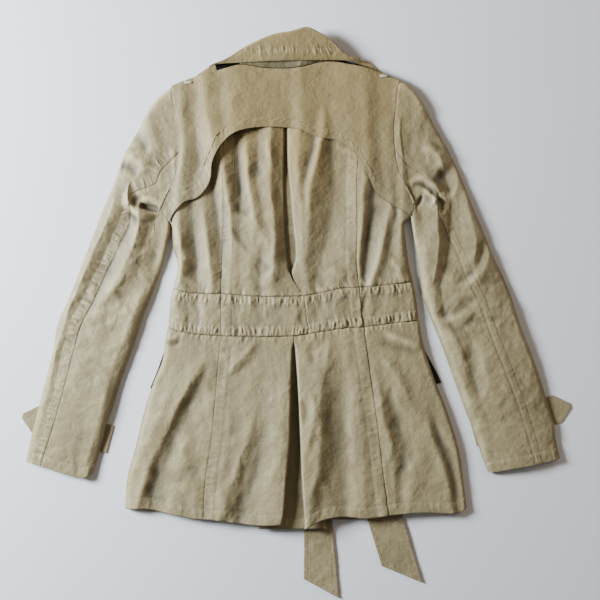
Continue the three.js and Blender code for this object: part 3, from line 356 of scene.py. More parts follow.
# Folds of the skirt, which run on from the back: a line of points, the rise, the widths of the left and
# right flanks, and the shape, from 1.3 for a crisp crease to 2 for a soft roll. A negative rise is a
# trough.
SKIRT_FOLDS = [
    ([(-133, -42), (-150, -75), (-172, -112), (-188, -145), (-203, -180), (-223, -222), (-242, -266),
      (-272, -375)],
     4.6, 26, 8, 1.35),
    ([(-126, -62), (-150, -104), (-177, -150), (-204, -198), (-222, -240), (-228, -300), (-236, -375)],
     -3.6, 8, 22, 1.8),
    ([(-196, -112), (-222, -165), (-238, -202), (-254, -240)], 2.4, 12, 8, 1.5),
    ([(-212, -42), (-196, -47), (-182, -42)], -2.4, 3, 4, 1.3),
    ([(-212, -34), (-198, -38), (-186, -34)], 2.4, 5, 4, 1.4),
    ([(-58, -38), (-78, -60), (-98, -80), (-116, -104)], 3.4, 14, 6, 1.35),
    ([(-104, -60), (-124, -100), (-140, -140)], -1.6, 8, 10, 1.8),
    ([(-166, -150), (-176, -200), (-190, -260), (-200, -300), (-219, -375)], 1.8, 16, 10, 1.6),
    ([(-112, -130), (-108, -180), (-118, -240), (-124, -310), (-130, -375)], 1.6, 12, 8, 1.5),
    ([(-62, -140), (-78, -195), (-90, -230), (-106, -276), (-136, -375)], 2.8, 14, 7, 1.4),
    ([(-47, -150), (-56, -205), (-68, -262), (-84, -318), (-100, -375)], -4.0, 12, 16, 1.8),
    ([(-88, -220), (-84, -262), (-92, -316), (-101, -375)], -1.6, 5, 6, 1.4),
    ([(-18, -60), (-20, -140), (-24, -220), (-34, -322), (-39, -375)], 3.0, 24, 14, 2.0),
    ([(30, -48), (37, -90), (38, -150), (38, -205), (34, -250), (22, -290), (20, -328), (18, -375)],
     3.6, 16, 10, 1.5),
    ([(18, -118), (28, -143), (26, -172), (18, -205), (11, -238)], 2.0, 6, 5, 1.3),
    ([(8, -130), (14, -155), (13, -180)], -1.6, 5, 5, 1.5),
    ([(73, -48), (70, -120), (70, -200), (73, -260), (78, -322), (82, -375)], -4.0, 22, 11, 1.8),
    ([(94, -60), (98, -140), (104, -220), (108, -310), (111, -375)], 1.4, 12, 9, 1.8),
    ([(120, -66), (132, -125), (140, -165), (148, -200), (156, -248), (158, -292), (162, -375)],
     3.0, 10, 7, 1.4),
    ([(148, -100), (158, -160), (170, -200), (172, -230), (162, -270), (160, -306), (156, -375)],
     -3.4, 12, 9, 1.6),
    ([(176, -190), (180, -240), (176, -300), (171, -375)], 1.4, 10, 16, 2.0),
    ([(202, -130), (208, -170), (220, -205), (236, -240), (246, -286), (265, -375)], 2.8, 22, 7, 1.4),
    ([(213, -142), (224, -185), (241, -230), (251, -265), (256, -296), (269, -375)], -2.6, 6, 6, 1.5),
    ([(206, -54), (182, -46), (160, -38), (138, -26)], 3.0, 6, 5, 1.3),
    ([(200, -66), (176, -58), (150, -50), (128, -44)], -2.0, 8, 8, 1.6),
    ([(132, -60), (158, -96), (186, -150)], 1.8, 10, 7, 1.4),
    ([(22, -40), (24, -64), (30, -84)], -1.6, 5, 5, 1.4),
    ([(54, -36), (48, -70), (46, -100)], 1.6, 6, 6, 1.6),
]

# Short creases that run across the long ones of the upper back, in the same columns
BACK_FOLDS = [
    ([(-104, 142), (-92, 122), (-78, 104), (-68, 92)], -2.0, 3, 12, 1.3),
    ([(-74, 176), (-66, 150), (-50, 122), (-42, 98)], 1.6, 8, 5, 1.3),
    ([(-62, 92), (-50, 78), (-38, 66)], -1.4, 7, 4, 1.3),
    ([(-34, 70), (-46, 56), (-58, 40)], 1.5, 5, 7, 1.3),
    ([(-100, 176), (-84, 164), (-66, 160)], -1.8, 6, 8, 1.5),
    ([(-80, 232), (-64, 226), (-48, 230)], -2.0, 7, 9, 1.5),
    ([(-46, 286), (-44, 262), (-38, 244)], 1.6, 4, 4, 1.3),
    ([(-132, 96), (-118, 74), (-106, 52)], 1.2, 6, 7, 1.4),
    ([(-186, 92), (-176, 76), (-166, 68)], 1.4, 4, 5, 1.3),
    ([(-194, 112), (-188, 96), (-178, 84)], -1.6, 4, 4, 1.3),
    ([(-180, 60), (-166, 50), (-150, 40)], 1.3, 5, 6, 1.4),
    ([(150, 92), (160, 76), (174, 68)], 1.8, 4, 5, 1.3),
    ([(158, 70), (168, 58), (182, 54)], 1.4, 4, 5, 1.3),
    ([(48, 76), (66, 62), (84, 60)], 1.2, 7, 8, 1.5),
    ([(26, 66), (36, 52), (50, 42)], -1.2, 6, 7, 1.4),
    ([(70, 112), (80, 92), (82, 66)], 1.0, 8, 6, 1.4),
    ([(62, 272), (76, 262), (90, 262)], 1.2, 4, 5, 1.3),
]


def noise(x, y, size, seed):
    """Smooth uneven ground from -1 to 1 with bumps about size apart"""
    lattice = np.random.default_rng(seed).uniform(-1, 1, (97, 97))
    gx, gy = x / size + 300.3, y / size + 300.7
    i, j = np.floor(gx).astype(int), np.floor(gy).astype(int)
    s, t = ease(gx - i), ease(gy - j)
    def at(a, b):
        return lattice[(i + a) % 97, (j + b) % 97]
    return mix(mix(at(0, 0), at(1, 0), s), mix(at(0, 1), at(1, 1), s), t)


def creased(creases, x, y):
    """Height of the facets between creases, uneven as in pressed cotton"""
    x = x + 1.6 * noise(x, y, 26, 3)
    lines = []
    for crease in creases:
        p = np.array(sorted(crease, key=lambda row: row[1]), float)
        lines.append((np.interp(y, p[:, 1], p[:, 0]), np.interp(y, p[:, 1], p[:, 2])))
    total = np.zeros_like(x)
    for (x1, h1), (x2, h2) in zip(lines, lines[1:]):
        t = (x - x1) / np.maximum(x2 - x1, 0.5)
        total = np.where((t >= 0) & (t < 1), mix(h1, h2, t), total)
    return total


def fold_height(table, x, y):
    """Height that a table of folds adds at each place"""
    total = np.zeros_like(x)
    for points, rise, left, right, crisp in table:
        line = seam(points)(np.linspace(0, 1, 3 * len(points) + 1))
        reach = 3 * max(left, right)
        near = ((x > line[:, 0].min() - reach) & (x < line[:, 0].max() + reach)
                & (y > line[:, 1].min() - reach) & (y < line[:, 1].max() + reach))
        if not near.any():
            continue
        p = np.stack([x[near], y[near]], axis=-1)
        best, aside, along = np.full(len(p), 1e9), np.zeros(len(p)), np.zeros(len(p))
        for k in range(len(line) - 1):
            step = line[k + 1] - line[k]
            t = np.clip(((p - line[k]) @ step) / (step @ step), 0, 1)
            off = p - line[k] - t[:, None] * step
            distance = np.hypot(off[:, 0], off[:, 1])
            closer = distance < best
            best = np.where(closer, distance, best)
            aside = np.where(closer, step[0] * off[:, 1] - step[1] * off[:, 0], aside)
            along = np.where(closer, (k + t) / (len(line) - 1), along)
        width = np.where(aside * np.sign(line[0, 1] - line[-1, 1] + 1e-6) > 0, right, left)
        strength = ease(np.minimum(along, 1 - along) / 0.3)
        wander = 1 + 0.3 * noise(p[:, 0], p[:, 1], 19, len(points))
        out = np.clip(best / (2.1 * wander * width * (0.3 + 0.7 * strength)), 0, 1)
        profile = 1.2 * mix((1 - out) ** 1.15, 1 - ease(out), (crisp - 1.3) / 0.9)
        total[near] += rise * profile * strength
    return total


def scattered(x, y, seed):
    """Squared distance to the nearest of points that are scattered one to each unit square"""
    spots = np.random.default_rng(seed).uniform(0.2, 0.8, (61, 61, 2))
    i, j = np.floor(x).astype(int), np.floor(y).astype(int)
    best = np.full(x.shape, 9.0)
    for a in (-1, 0, 1):
        for b in (-1, 0, 1):
            spot = spots[(i + a) % 61, (j + b) % 61]
            best = np.minimum(best, (x - i - a - spot[..., 0]) ** 2 + (y - j - b - spot[..., 1]) ** 2)
    return best


def crumple(x, y, seed, stretch=1.0):
    """The cloth's unevenness: flat facets that meet in crisp ridges and valleys. The gap between the
    squared distances to two sets of points is such a folded surface."""
    bent_x = x + 7 * noise(x, y, 38, seed + 5) + 2.5 * noise(x, y, 12, seed + 6)
    bent_y = (y + 7 * noise(x, y, 38, seed + 7)) / stretch
    total = np.zeros_like(x)
    for k, (size, rise) in enumerate(((52, 3.0), (25, 2.1), (11, 0.85))):
        turn = 0.3 + 1.9 * k
        u = (bent_x * math.cos(turn) + bent_y * math.sin(turn)) / size
        w = (bent_y * math.cos(turn) - bent_x * math.sin(turn)) / size
        total = total + rise * (scattered(u, w, seed + 10 * k) - scattered(u, w, seed + 10 * k + 1))
    return total * (0.8 + 0.4 * noise(x, y, 80, seed + 9))


def crown(x, y):
    """Height of the laid body without its folds"""
    left, right, side, middle = (np.interp(y, BODY[:, 0], BODY[:, k]) for k in (1, 2, 3, 4))
    t = np.clip(np.abs(2 * (x - left) / (right - left) - 1), 0, 1)
    return mix(middle, side, t ** 3)


# Height under which the back never sinks, because the layers beneath it end there
LEAST_BACK = 7.2


def back_height(x, y):
    """Height of the back's outer side, nowhere so low that it would sink into what it lies on"""
    upper = creased(BACK_CREASES, x, y) * ease((y + 40) / 60) * ease((345 - y) / 55)
    loose = crown(x, y) + upper + fold_height(BACK_FOLDS, x, y) + fold_height(SKIRT_FOLDS, x, y)
    loose = loose + 0.75 * crumple(x, y, 5, 1.6)
    lowest = LEAST_BACK + 1.5 * np.exp(-((x + 12) / 30) ** 2)
    return lowest + 1.2 * np.logaddexp(0, (loose - lowest) / 1.2)


# Edges: how cloth is finished along a seam. Depth of the valley at the seam line; width and thickness
# of the doubled cloth; stitch rows by their distance from the edge; and puckers: rise, spacing, how far
# from the edge their middle lies, and their half length. A fold turns down over a few millimetres,
# between two distances along it.
EDGES = {
    "seam": dict(valley=0.4, band=0, step=0, rows=(), puckers=(0.5, 9, 2, 8)),
    "fell": dict(valley=0.2, band=16.5, step=0.6, rows=(16.0,), puckers=(0.8, 6, 9, 10)),
    "waist": dict(valley=0.8, band=16.5, step=0.4, rows=(16.0,), puckers=(1.3, 1.8, 8, 11)),
    "gathered": dict(valley=0.8, band=0, step=0, rows=(), puckers=(1.5, 3.8, 3, 13)),
    "shoulder": dict(valley=0.5, band=0, step=0, rows=(), puckers=(0.6, 8, 0, 12)),
    "puckered": dict(valley=0.9, band=0, step=0, rows=(), puckers=(1.5, 4.6, 9, 12)),
    "twin": dict(valley=0.08, band=13, step=0.25, rows=(1.6, 13), puckers=(0.5, 6, 7, 8)),
    "strip": dict(valley=0, band=6, step=0.1, rows=(6,), puckers=(0.7, 5, 6, 7)),
    "hem": dict(valley=0, band=18, step=0.3, rows=(17.5,), puckers=(0.7, 7, 12, 12)),
    "facing": dict(valley=0, band=18, step=0.25, rows=(17.5,), puckers=(1.1, 5, 13, 10)),
    "collar": dict(valley=0, band=18, step=0.3, rows=(17.5,), puckers=(1.2, 4.2, 16, 10)),
    "back_fold": dict(valley=0, band=0, step=0, rows=(), puckers=(0.3, 16, 0, 8), turn=(3.2, 60, 330)),
    "skirt_fold": dict(valley=0, band=0, step=0, rows=(), puckers=(0.3, 16, 0, 8), turn=(3.2, 10, 900)),
}


def rounded(distance, width):
    """From 0 at an edge to 1 where the cloth lies flat, along a quarter of a circle"""
    return np.sqrt(1 - (1 - np.clip(distance / width, 0, 1)) ** 2)


def edge_relief(kind, distance, along, seed):
    """Height that one edge's finish adds"""
    edge = EDGES[kind]
    z = -edge["valley"] * np.exp(-(distance / 1.3) ** 2)
    if edge["band"]:
        z = z + edge["step"] * ease((edge["band"] - distance) / 2.2 + 0.5)
    rise, spacing, centre, reach = edge["puckers"]
    rng = np.random.default_rng(seed)
    place = 0
    while place < along.max():
        place += spacing * rng.uniform(0.45, 1.5)
        lean, width, far, high = rng.uniform((-0.25, 1.3, 0.35, 0.2), (0.25, 2.9, 1.15, 1.0))
        away = distance - centre * rng.uniform(0.7, 1.3)
        near = (np.abs(away) < far * reach) & (np.abs(along - place) < width + 0.5 * far * reach)
        aside = np.abs(along[near] - place - lean * away[near]) / width
        fade = 1 - (away[near] / (far * reach)) ** 2
        z[near] += rise * (high if rng.random() < 0.7 else -0.6 * high) * fade * np.clip(1 - aside, 0, 1)
    for offset in edge["rows"]:
        z = z - 0.45 * np.exp(-((distance - offset) / 1.2) ** 2)
    if "turn" in edge:
        drop, start, stop = edge["turn"]
        reach = ease((along - start) / 14) * ease((stop - along) / 14)
        z = z - drop * (1 - rounded(distance, drop)) * reach
    return z


def blurred(z, passes):
    """A height field smoothed with its neighbours a number of times"""
    for _ in range(passes):
        p = np.pad(z, 1, mode="edge")
        z = (p[:-2, 1:-1] + p[2:, 1:-1] + p[1:-1, :-2] + p[1:-1, 2:] + 2 * z) / 6
    return z


def lengths(points, axis):
    """Distance run along a grid of points from its first row or column"""
    steps = np.linalg.norm(np.diff(points, axis=axis), axis=-1)
    start = np.zeros_like(np.take(steps, [0], axis=axis))
    return np.concatenate([start, np.cumsum(steps, axis=axis)], axis=axis)


def cut_shares(length, pitch, roll_at_start=0, roll_at_end=0):
    """Shares of a length for the lines of a grid, closer together on a rolled edge"""
    turn = 1 - np.cos(np.linspace(0, math.pi / 2, 7))
    a, b = roll_at_start / length, roll_at_end / length
    count = max(4, int(round(length * (1 - a - b) / pitch)))
    middle = np.linspace(a, 1 - b, count + 1)
    start = turn[:-1] * a if roll_at_start else []
    end = 1 - turn[:-1][::-1] * b if roll_at_end else []
    return np.concatenate([start, middle, end])


# How the relief that colours the cloth is read: from ridges over a few grid steps and from broad rolls. Rims
# are set to a low relief, a painted shadow line along the edge of a hem
SMALL_FORM, BROAD_FORM = 14, 90
RIM_PAINTED_SHADOW = -1.6


def cloth(name, points, material, thickness=1.1, rims=()):
    """A sheet of cloth from a grid of points in millimetres, rows by columns, with its outer side where
    down crossed with across points. It gets its thickness, rounded rims, cut coordinates and relief. The
    relief tints
    its colour: painted shade in hollows and on the rows in rims, paler ridges from wear and painted
    highlight."""
    rows, columns = points.shape[:2]
    bm = bmesh.new()
    bmesh.ops.create_grid(bm, x_segments=columns - 1, y_segments=rows - 1, size=0.5)
    mesh = bpy.data.meshes.new(name)
    bm.to_mesh(mesh)
    bm.free()
    flat = np.empty(len(mesh.vertices) * 3)
    mesh.vertices.foreach_get("co", flat)
    flat = flat.reshape(-1, 3)
    column = np.rint((flat[:, 0] + 0.5) * (columns - 1)).astype(int)
    row = np.rint((0.5 - flat[:, 1]) * (rows - 1)).astype(int)
    mesh.vertices.foreach_set("co", (points[row, column] * MM).ravel())

    height = points[..., 2]
    relief = (height - blurred(height, SMALL_FORM)) / 1.1 + (height - blurred(height, BROAD_FORM)) / 5
    relief = np.clip(relief, -1.8, 1.2)
    # The rows in rims take a painted shadow line
    for row_or_column in rims:
        relief[row_or_column] = RIM_PAINTED_SHADOW
    mesh.attributes.new("relief", "FLOAT", "POINT").data.foreach_set("value", relief[row, column])
    across, down = lengths(points, 1), lengths(points, 0)
    cut = np.stack([across, down], axis=-1)[row, column] * MM
    corner = np.empty(len(mesh.loops), int)
    mesh.loops.foreach_get("vertex_index", corner)
    mesh.uv_layers.new(name="cut").data.foreach_set("uv", cut[corner].ravel())

    mesh.polygons.foreach_set("use_smooth", np.ones(len(mesh.polygons), bool))
    mesh.materials.append(material)
    mesh.update()
    piece = bpy.data.objects.new(name, mesh)
    bpy.context.collection.objects.link(piece)
    shell = piece.modifiers.new("thickness", "SOLIDIFY")
    shell.thickness = thickness * MM
    shell.offset = -1
    rim = piece.modifiers.new("rounded_rims", "BEVEL")
    rim.width = 0.3 * MM
    rim.segments = 2
    rim.limit_method = "ANGLE"
    rim.angle_limit = math.radians(60)
    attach(piece, "root")
    if name.endswith("_cloth"):
        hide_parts(name.removesuffix("_cloth"))

    return piece


stitch_rows = []


def sewn(points, distance, offset, axis):
    """The line on a grid of points that keeps one distance from an edge, kept for its stitches"""
    grid, gap = (points, distance) if axis == 1 else (points.transpose(1, 0, 2), distance.T)
    line = []
    for row, g in zip(grid, gap):
        order = np.argsort(g)
        if g[order[0]] <= offset <= g[order[-1]]:
            line.append([np.interp(offset, g[order], row[order, k]) for k in range(3)])
    if len(line) > 3:
        stitch_rows.append(np.array(line))


def sew(points, distance, edges):
    """Keeps the stitch rows of every edge of a piece"""
    for side, kind in edges.items():
        for offset in EDGES[kind]["rows"]:
            sewn(points, distance[side], offset, 1 if side in ("left", "right") else 0)


# The cloth turns down over 8 mm to a side seam, which lies this high for the back's cloth
EDGE_ROLL = 8
BACK_SEAM = 4.2


def cut_grid(size, pitch, turned_side):
    """Shares across and down for the grid of a piece, closer together on the side that turns down"""
    width, length = size
    across = cut_shares(width, pitch, EDGE_ROLL if turned_side == "left" else 0,
                        EDGE_ROLL if turned_side == "right" else 0)
    v, u = np.meshgrid(cut_shares(length, pitch), across, indexing="ij")
    return u, v


def from_edges(xy):
    """How far each place lies from the four edges of its piece, and how far along them"""
    from_left, from_top = lengths(xy, 1), lengths(xy, 0)
    distance = {"left": from_left, "right": from_left[:, -1:] - from_left,
                "top": from_top, "bottom": from_top[-1:] - from_top}
    along = {"left": from_top, "right": from_top, "top": from_left, "bottom": from_left}
    return distance, along


def panel(name, place, height, edges, size, pitch=2.2, roll=None, seed=1, soft=2):
    """A sewn panel on a grid of its size over pitch. edges gives the finish of its left, right, top and
    bottom edge. roll is the side where it turns down to the side seam, and from which y down."""
    xy = place(*cut_grid(size, pitch, roll[0] if roll else None))
    x, y = xy[..., 0], xy[..., 1]
    distance, along = from_edges(xy)
    z = blurred(height(x, y), soft)
    for k, (side, kind) in enumerate(edges.items()):
        z = z + edge_relief(kind, distance[side], along[side], seed * 10 + k)
    if roll:
        side, start = roll
        round_down = BACK_SEAM + (z - BACK_SEAM) * rounded(distance[side], EDGE_ROLL)
        z = mix(z, round_down, ease((start - y) / 14))
    points = np.dstack([x, y, z])
    sew(points, distance, edges)
    # A hem's or facing's last row gets a painted shadow line along its edge
    rims = [(-1, slice(None))] if edges.get("bottom") in ("hem", "facing") else []
    return cloth(name + "_cloth", points, cotton, rims=rims)


side_left = after(ARM_LEFT, SIDE_LEFT)
side_right = after(ARM_RIGHT, SIDE_RIGHT)
panel("back_left_side",
      patch(part(SHOULDER, -199, -114), part(WAIST_TOP, -197, -120), side_left, PRINCESS_LEFT),
      back_height, {"right": "seam", "bottom": "gathered"}, (84, 360),
      roll=("left", 150), seed=1)
panel("back_left",
      patch(part(SHOULDER, -114, -18), part(WAIST_TOP, -120, 13), PRINCESS_LEFT, PLEAT_LEFT), back_height,
      {"left": "fell", "right": "back_fold", "bottom": "gathered"}, (110, 365), seed=2)
panel("back_right",
      patch(part(SHOULDER, -15, 94), part(WAIST_TOP, 13, 100), PLEAT_RIGHT, PRINCESS_RIGHT), back_height,
      {"left": "back_fold", "right": "fell", "bottom": "gathered"}, (105, 365), seed=3)
panel("back_right_side",
      patch(part(SHOULDER, 94, 166), part(WAIST_TOP, 100, 187), PRINCESS_RIGHT, side_right),
      back_height, {"left": "seam", "bottom": "gathered"}, (84, 360),
      roll=("right", 160), seed=4)


# Waistband: four pieces of doubled gabardine between two long seams, a little proud of the cloth above
# and below. Each seam takes in the gathers of the panel beyond it, so the band itself is finely puckered.
WAIST_LOW = seam([[-205, -20], [-188, -27], [-120, -34], [-34, -35], [-4, -34], [20, -31], [76, -22],
                  [107, -20], [196, -9]])


def straight(*points):
    """A line through points that are given one by one"""
    return seam(points)


def band_height(x, y):
    """Height of the band's outer side: above the body, with less of the back's creases"""
    return crown(x, y) + 0.7 + 0.4 * (back_height(x, y) - crown(x, y)) + 1.3 * crumple(x, y, 9, 2.0)


band_lines = [straight((-197, 41), (-202, 18), (-205, -20)), straight((-120, 33), (-120, 0), (-120, -34)),
              straight((13, 30), (16, 1), (20, -31)), straight((100, 43), (103, 12), (107, -20)),
              straight((187, 52), (193, 18), (196, -9))]
band = {"top": "waist", "bottom": "waist"}
panel("waist_left_side", patch(part(WAIST_TOP, -197, -120), part(WAIST_LOW, -205, -120), *band_lines[0:2]),
      band_height, {**band, "right": "seam"}, (80, 64), 1.4, ("left", 999), seed=5)
panel("waist_left", patch(part(WAIST_TOP, -120, 13), part(WAIST_LOW, -120, 20), *band_lines[1:3]),
      band_height, {**band, "left": "fell", "right": "seam"}, (135, 64), 1.4, seed=6)
panel("waist_right", patch(part(WAIST_TOP, 13, 100), part(WAIST_LOW, 20, 107), *band_lines[2:4]),
      band_height, {**band, "left": "seam", "right": "fell"}, (88, 64), 1.4, seed=7)
panel("waist_right_side", patch(part(WAIST_TOP, 100, 187), part(WAIST_LOW, 107, 196), *band_lines[3:5]),
      band_height, {**band, "left": "seam"}, (88, 64), 1.4, ("right", 999), seed=8)


# Skirt: four flared panels of the same gabardine, gathered into the waistband, with a doubled and
# stitched hem. The middle two stay open over the inverted pleat, and folds fall from the gathers.
HEM_LEFT = seam([[-274, -311], [-234, -312], [-196, -320], [-164, -326], [-131, -328], [-96, -333],
                 [-60, -336], [-22, -334]])
HEM_RIGHT = seam([[13, -342], [24, -336], [44, -327], [76, -323], [113, -326], [144, -322], [172, -319],
                  [200, -317], [230, -318], [262, -317], [273, -309]])
SKIRT_SIDE_LEFT = seam([[-205, -20], [-209, -36], [-215, -75], [-228, -107], [-243, -153], [-260, -222],
                        [-271, -263], [-274, -311]])
SKIRT_SIDE_RIGHT = seam([[196, -9], [204, -49], [225, -113], [239, -148], [260, -215], [266, -252],
                         [273, -309]])
SKIRT_PRINCESS_LEFT = seam([[-120, -34], [-126, -97], [-134, -191], [-145, -268], [-148, -327]])
SKIRT_PRINCESS_RIGHT = seam([[107, -20], [112, -51], [117, -89], [124, -137], [131, -191], [140, -268],
                             [147, -321]])
SKIRT_PLEAT_LEFT = seam([[-4, -34], [-6, -67], [-8, -153], [-9, -201], [-14, -255], [-18, -311],
                         [-22, -334]])
SKIRT_PLEAT_RIGHT = seam([[-4, -34], [1, -97], [4, -153], [6, -201], [9, -275], [12, -319], [13, -342]])


def skirt_height(x, y):
    """Height of the skirt's outer side, which stands a little over the pleat"""
    return back_height(x, y) + 6.5 * np.exp(-((x + 8) / 64) ** 2) * ease((-30 - y) / 110)


panel("skirt_left_side",
      patch(part(WAIST_LOW, -205, -120), part(HEM_LEFT, -274, -148), SKIRT_SIDE_LEFT, SKIRT_PRINCESS_LEFT),
      skirt_height, {"right": "seam", "top": "gathered", "bottom": "hem"}, (105, 300),
      roll=("left", 999), seed=9)
panel("skirt_left",
      patch(part(WAIST_LOW, -120, -4), part(HEM_LEFT, -148, -22), SKIRT_PRINCESS_LEFT, SKIRT_PLEAT_LEFT),
      skirt_height, {"left": "fell", "right": "skirt_fold", "top": "gathered", "bottom": "hem"},
      (121, 300), seed=10)
panel("skirt_right",
      patch(part(WAIST_LOW, -4, 107), part(HEM_RIGHT, 13, 147), SKIRT_PLEAT_RIGHT, SKIRT_PRINCESS_RIGHT),
      skirt_height, {"left": "skirt_fold", "right": "fell", "top": "gathered", "bottom": "hem"},
      (122, 300), seed=11)
panel("skirt_right_side",
      patch(part(WAIST_LOW, 107, 196), part(HEM_RIGHT, 147, 273), SKIRT_PRINCESS_RIGHT, SKIRT_SIDE_RIGHT),
      skirt_height, {"left": "seam", "top": "gathered", "bottom": "hem"}, (108, 300),
      roll=("right", 999), seed=12)


# Pleat underlays: plain strips of gabardine under the two openings, folded from the edges of the panels
# beside them and caught in the waistband's seams. They lie on the fronts and show only as a dark line.
CLOTH_AND_GAP = 1.6


def underlay(depth):
    """Height of a strip that lies under the middle of the back by a depth"""
    def height(x, y):
        middle = np.interp(y, BODY[:, 0], BODY[:, 4])
        return middle - CLOTH_AND_GAP - depth + 0.4 * crumple(x, y, 21)
    return height


panel("back_pleat", patch(straight((-40, 300), (12, 300)), straight((-36, 60), (20, 60)),
                          straight((-40, 300), (-36, 60)), straight((12, 300), (20, 60))),
      underlay(5.6), {}, (54, 240), 4, seed=13)
panel("skirt_pleat", patch(straight((-24, -42), (22, -42)), straight((-60, -343), (48, -343)),
                           straight((-24, -42), (-40, -200), (-60, -343)),
                           straight((22, -42), (34, -200), (48, -343))),
      underlay(3.4), {"bottom": "hem"}, (80, 300), 3, seed=14)


# Storm flap: the loose yoke over the upper back, of gabardine faced along its curved hem and stitched
# there. It is sewn in at the shoulders and armholes and lies free below, so it has its own creases.
FLAP_HEM = seam([[-202, 147], [-198, 157], [-189, 169], [-176, 180], [-160, 185], [-149, 194], [-141, 205],
                 [-136, 218], [-134, 240], [-127, 257], [-118, 271], [-104, 285], [-87, 293], [-61, 298],
                 [-18, 298], [6, 295], [23, 287], [44, 281], [64, 278], [80, 268], [93, 257], [103, 244],
                 [110, 229], [118, 213], [126, 196], [137, 185], [153, 174], [170, 165], [183, 156]])
FLAP_CREASES = [
    [(-199, 400, 0), (-196, 340, 0), (-188, 260, 0), (-202, 150, 0)],
    [(-186, 400, 1.2), (-182, 300, 2.9), (-181, 240, 5.3), (-190, 190, 3.6)],
    [(-172, 400, -1.2), (-162, 300, -1.9), (-156, 240, -3.6), (-168, 190, -2.9)],
    [(-150, 400, 3.1), (-139, 300, 4.8), (-130, 250, 4.8), (-142, 190, 2.4)],
    [(-126, 400, 1.2), (-119, 300, 1.9), (-112, 250, 1.9)],
    [(-108, 400, 3.1), (-101, 300, 4.8), (-98, 250, 4.8)],
    [(-60, 400, 0), (-56, 300, 1.2), (-56, 250, 1.2)],
    [(-10, 400, -1.2), (-12, 300, -0.7), (-12, 250, -0.7)],
    [(6, 400, 1.2), (6, 300, 2.4), (6, 250, 2.4)],
    [(46, 400, -2.4), (44, 300, -2.4), (40, 250, -2.4)],
    [(64, 400, -0.7), (66, 300, 0), (68, 250, 0)],
    [(108, 400, 2.4), (112, 300, 3.6), (114, 250, 3.6), (122, 190, 1.7)],
    [(142, 400, -2.9), (144, 300, -3.6), (140, 240, -3.1), (146, 190, 0)],
    [(168, 400, 0), (160, 320, 0), (161, 240, 0), (184, 156, 0)],
]
FLAP_RISE = 2.9


def flap_height(x, y):
    """Height of the flap's outer side: two places stand off, and none sinks into the back"""
    lift = 6.5 * np.exp(-((x + 112) / 44) ** 2 - ((y - 262) / 42) ** 2)
    lift = lift + 2.2 * np.exp(-((x + 176) / 24) ** 2 - ((y - 186) / 22) ** 2)
    loose = crown(x, y) + FLAP_RISE + lift + creased(FLAP_CREASES, x, y) + 0.6 * crumple(x, y, 31, 1.4)
    return np.maximum(loose, back_height(x, y) + 2.0)


panel("storm_flap", patch(SHOULDER, FLAP_HEM, seam(ARM_LEFT), seam(ARM_RIGHT)), flap_height,
      {"top": "shoulder", "left": "seam", "right": "seam", "bottom": "facing"},
      (370, 200), 2.0, seed=15, soft=9)

# Sleeves: tubes of gabardine in two pieces, sewn together along the puckered back seam and set into the
# armholes. They lie flat, so each piece turns round its own edge to the underside. The right one has two
# fine stitch rows beside the seam. Both were squeezed in under the arm, where they fold sharply.

# Height of a flat sleeve at its two sides; its middle rises 5.5 mm more
SLEEVE_SIDE = 6.3

SLEEVE_LEFT = dict(
    outer=seam([[-199, 365], [-229, 338], [-250, 301], [-279, 249], [-290, 215], [-309, 170], [-327, 124],
                [-346, 74], [-365, 25], [-383, -17], [-391, -63], [-407, -124], [-413, -148], [-424, -191],
                [-434, -236]]),
    seam=seam([[-187, 257], [-205, 240], [-217, 226], [-223, 210], [-237, 203], [-253, 197], [-263, 191],
               [-268, 178], [-265, 153], [-270, 136], [-280, 116], [-292, 89], [-303, 68], [-322, 25],
               [-343, -17], [-356, -60], [-370, -115], [-388, -179], [-408, -242]]),
    inner=seam([[-202, 147], [-202, 135], [-208, 108], [-216, 74], [-234, 25], [-247, -7], [-263, -57],
                [-279, -100], [-293, -145], [-304, -177], [-317, -227], [-326, -256]]),
    hem=seam([[-434, -236], [-408, -242], [-384, -251], [-356, -258], [-348, -262], [-326, -256]]))
SLEEVE_RIGHT = dict(
    outer=seam([[166, 373], [177, 369], [193, 353], [208, 329], [220, 305], [233, 282], [251, 249],
                [269, 209], [284, 170], [300, 133], [315, 96], [331, 62], [344, 31], [358, -14], [376, -60],
                [392, -105], [400, -131], [413, -175], [417, -204], [423, -231]]),
    seam=seam([[158, 263], [171, 247], [182, 236], [192, 231], [204, 221], [220, 203], [228, 186],
               [228, 162], [236, 145], [246, 119], [256, 98], [272, 57], [288, 26], [312, -38], [340, -108],
               [361, -167], [382, -240]]),
    inner=seam([[183, 156], [186, 138], [190, 113], [194, 89], [204, 25], [220, -17], [236, -57],
                [251, -99], [269, -148], [288, -198], [300, -235], [308, -254]]),
    hem=seam([[308, -254], [343, -247], [382, -240], [423, -231]]))
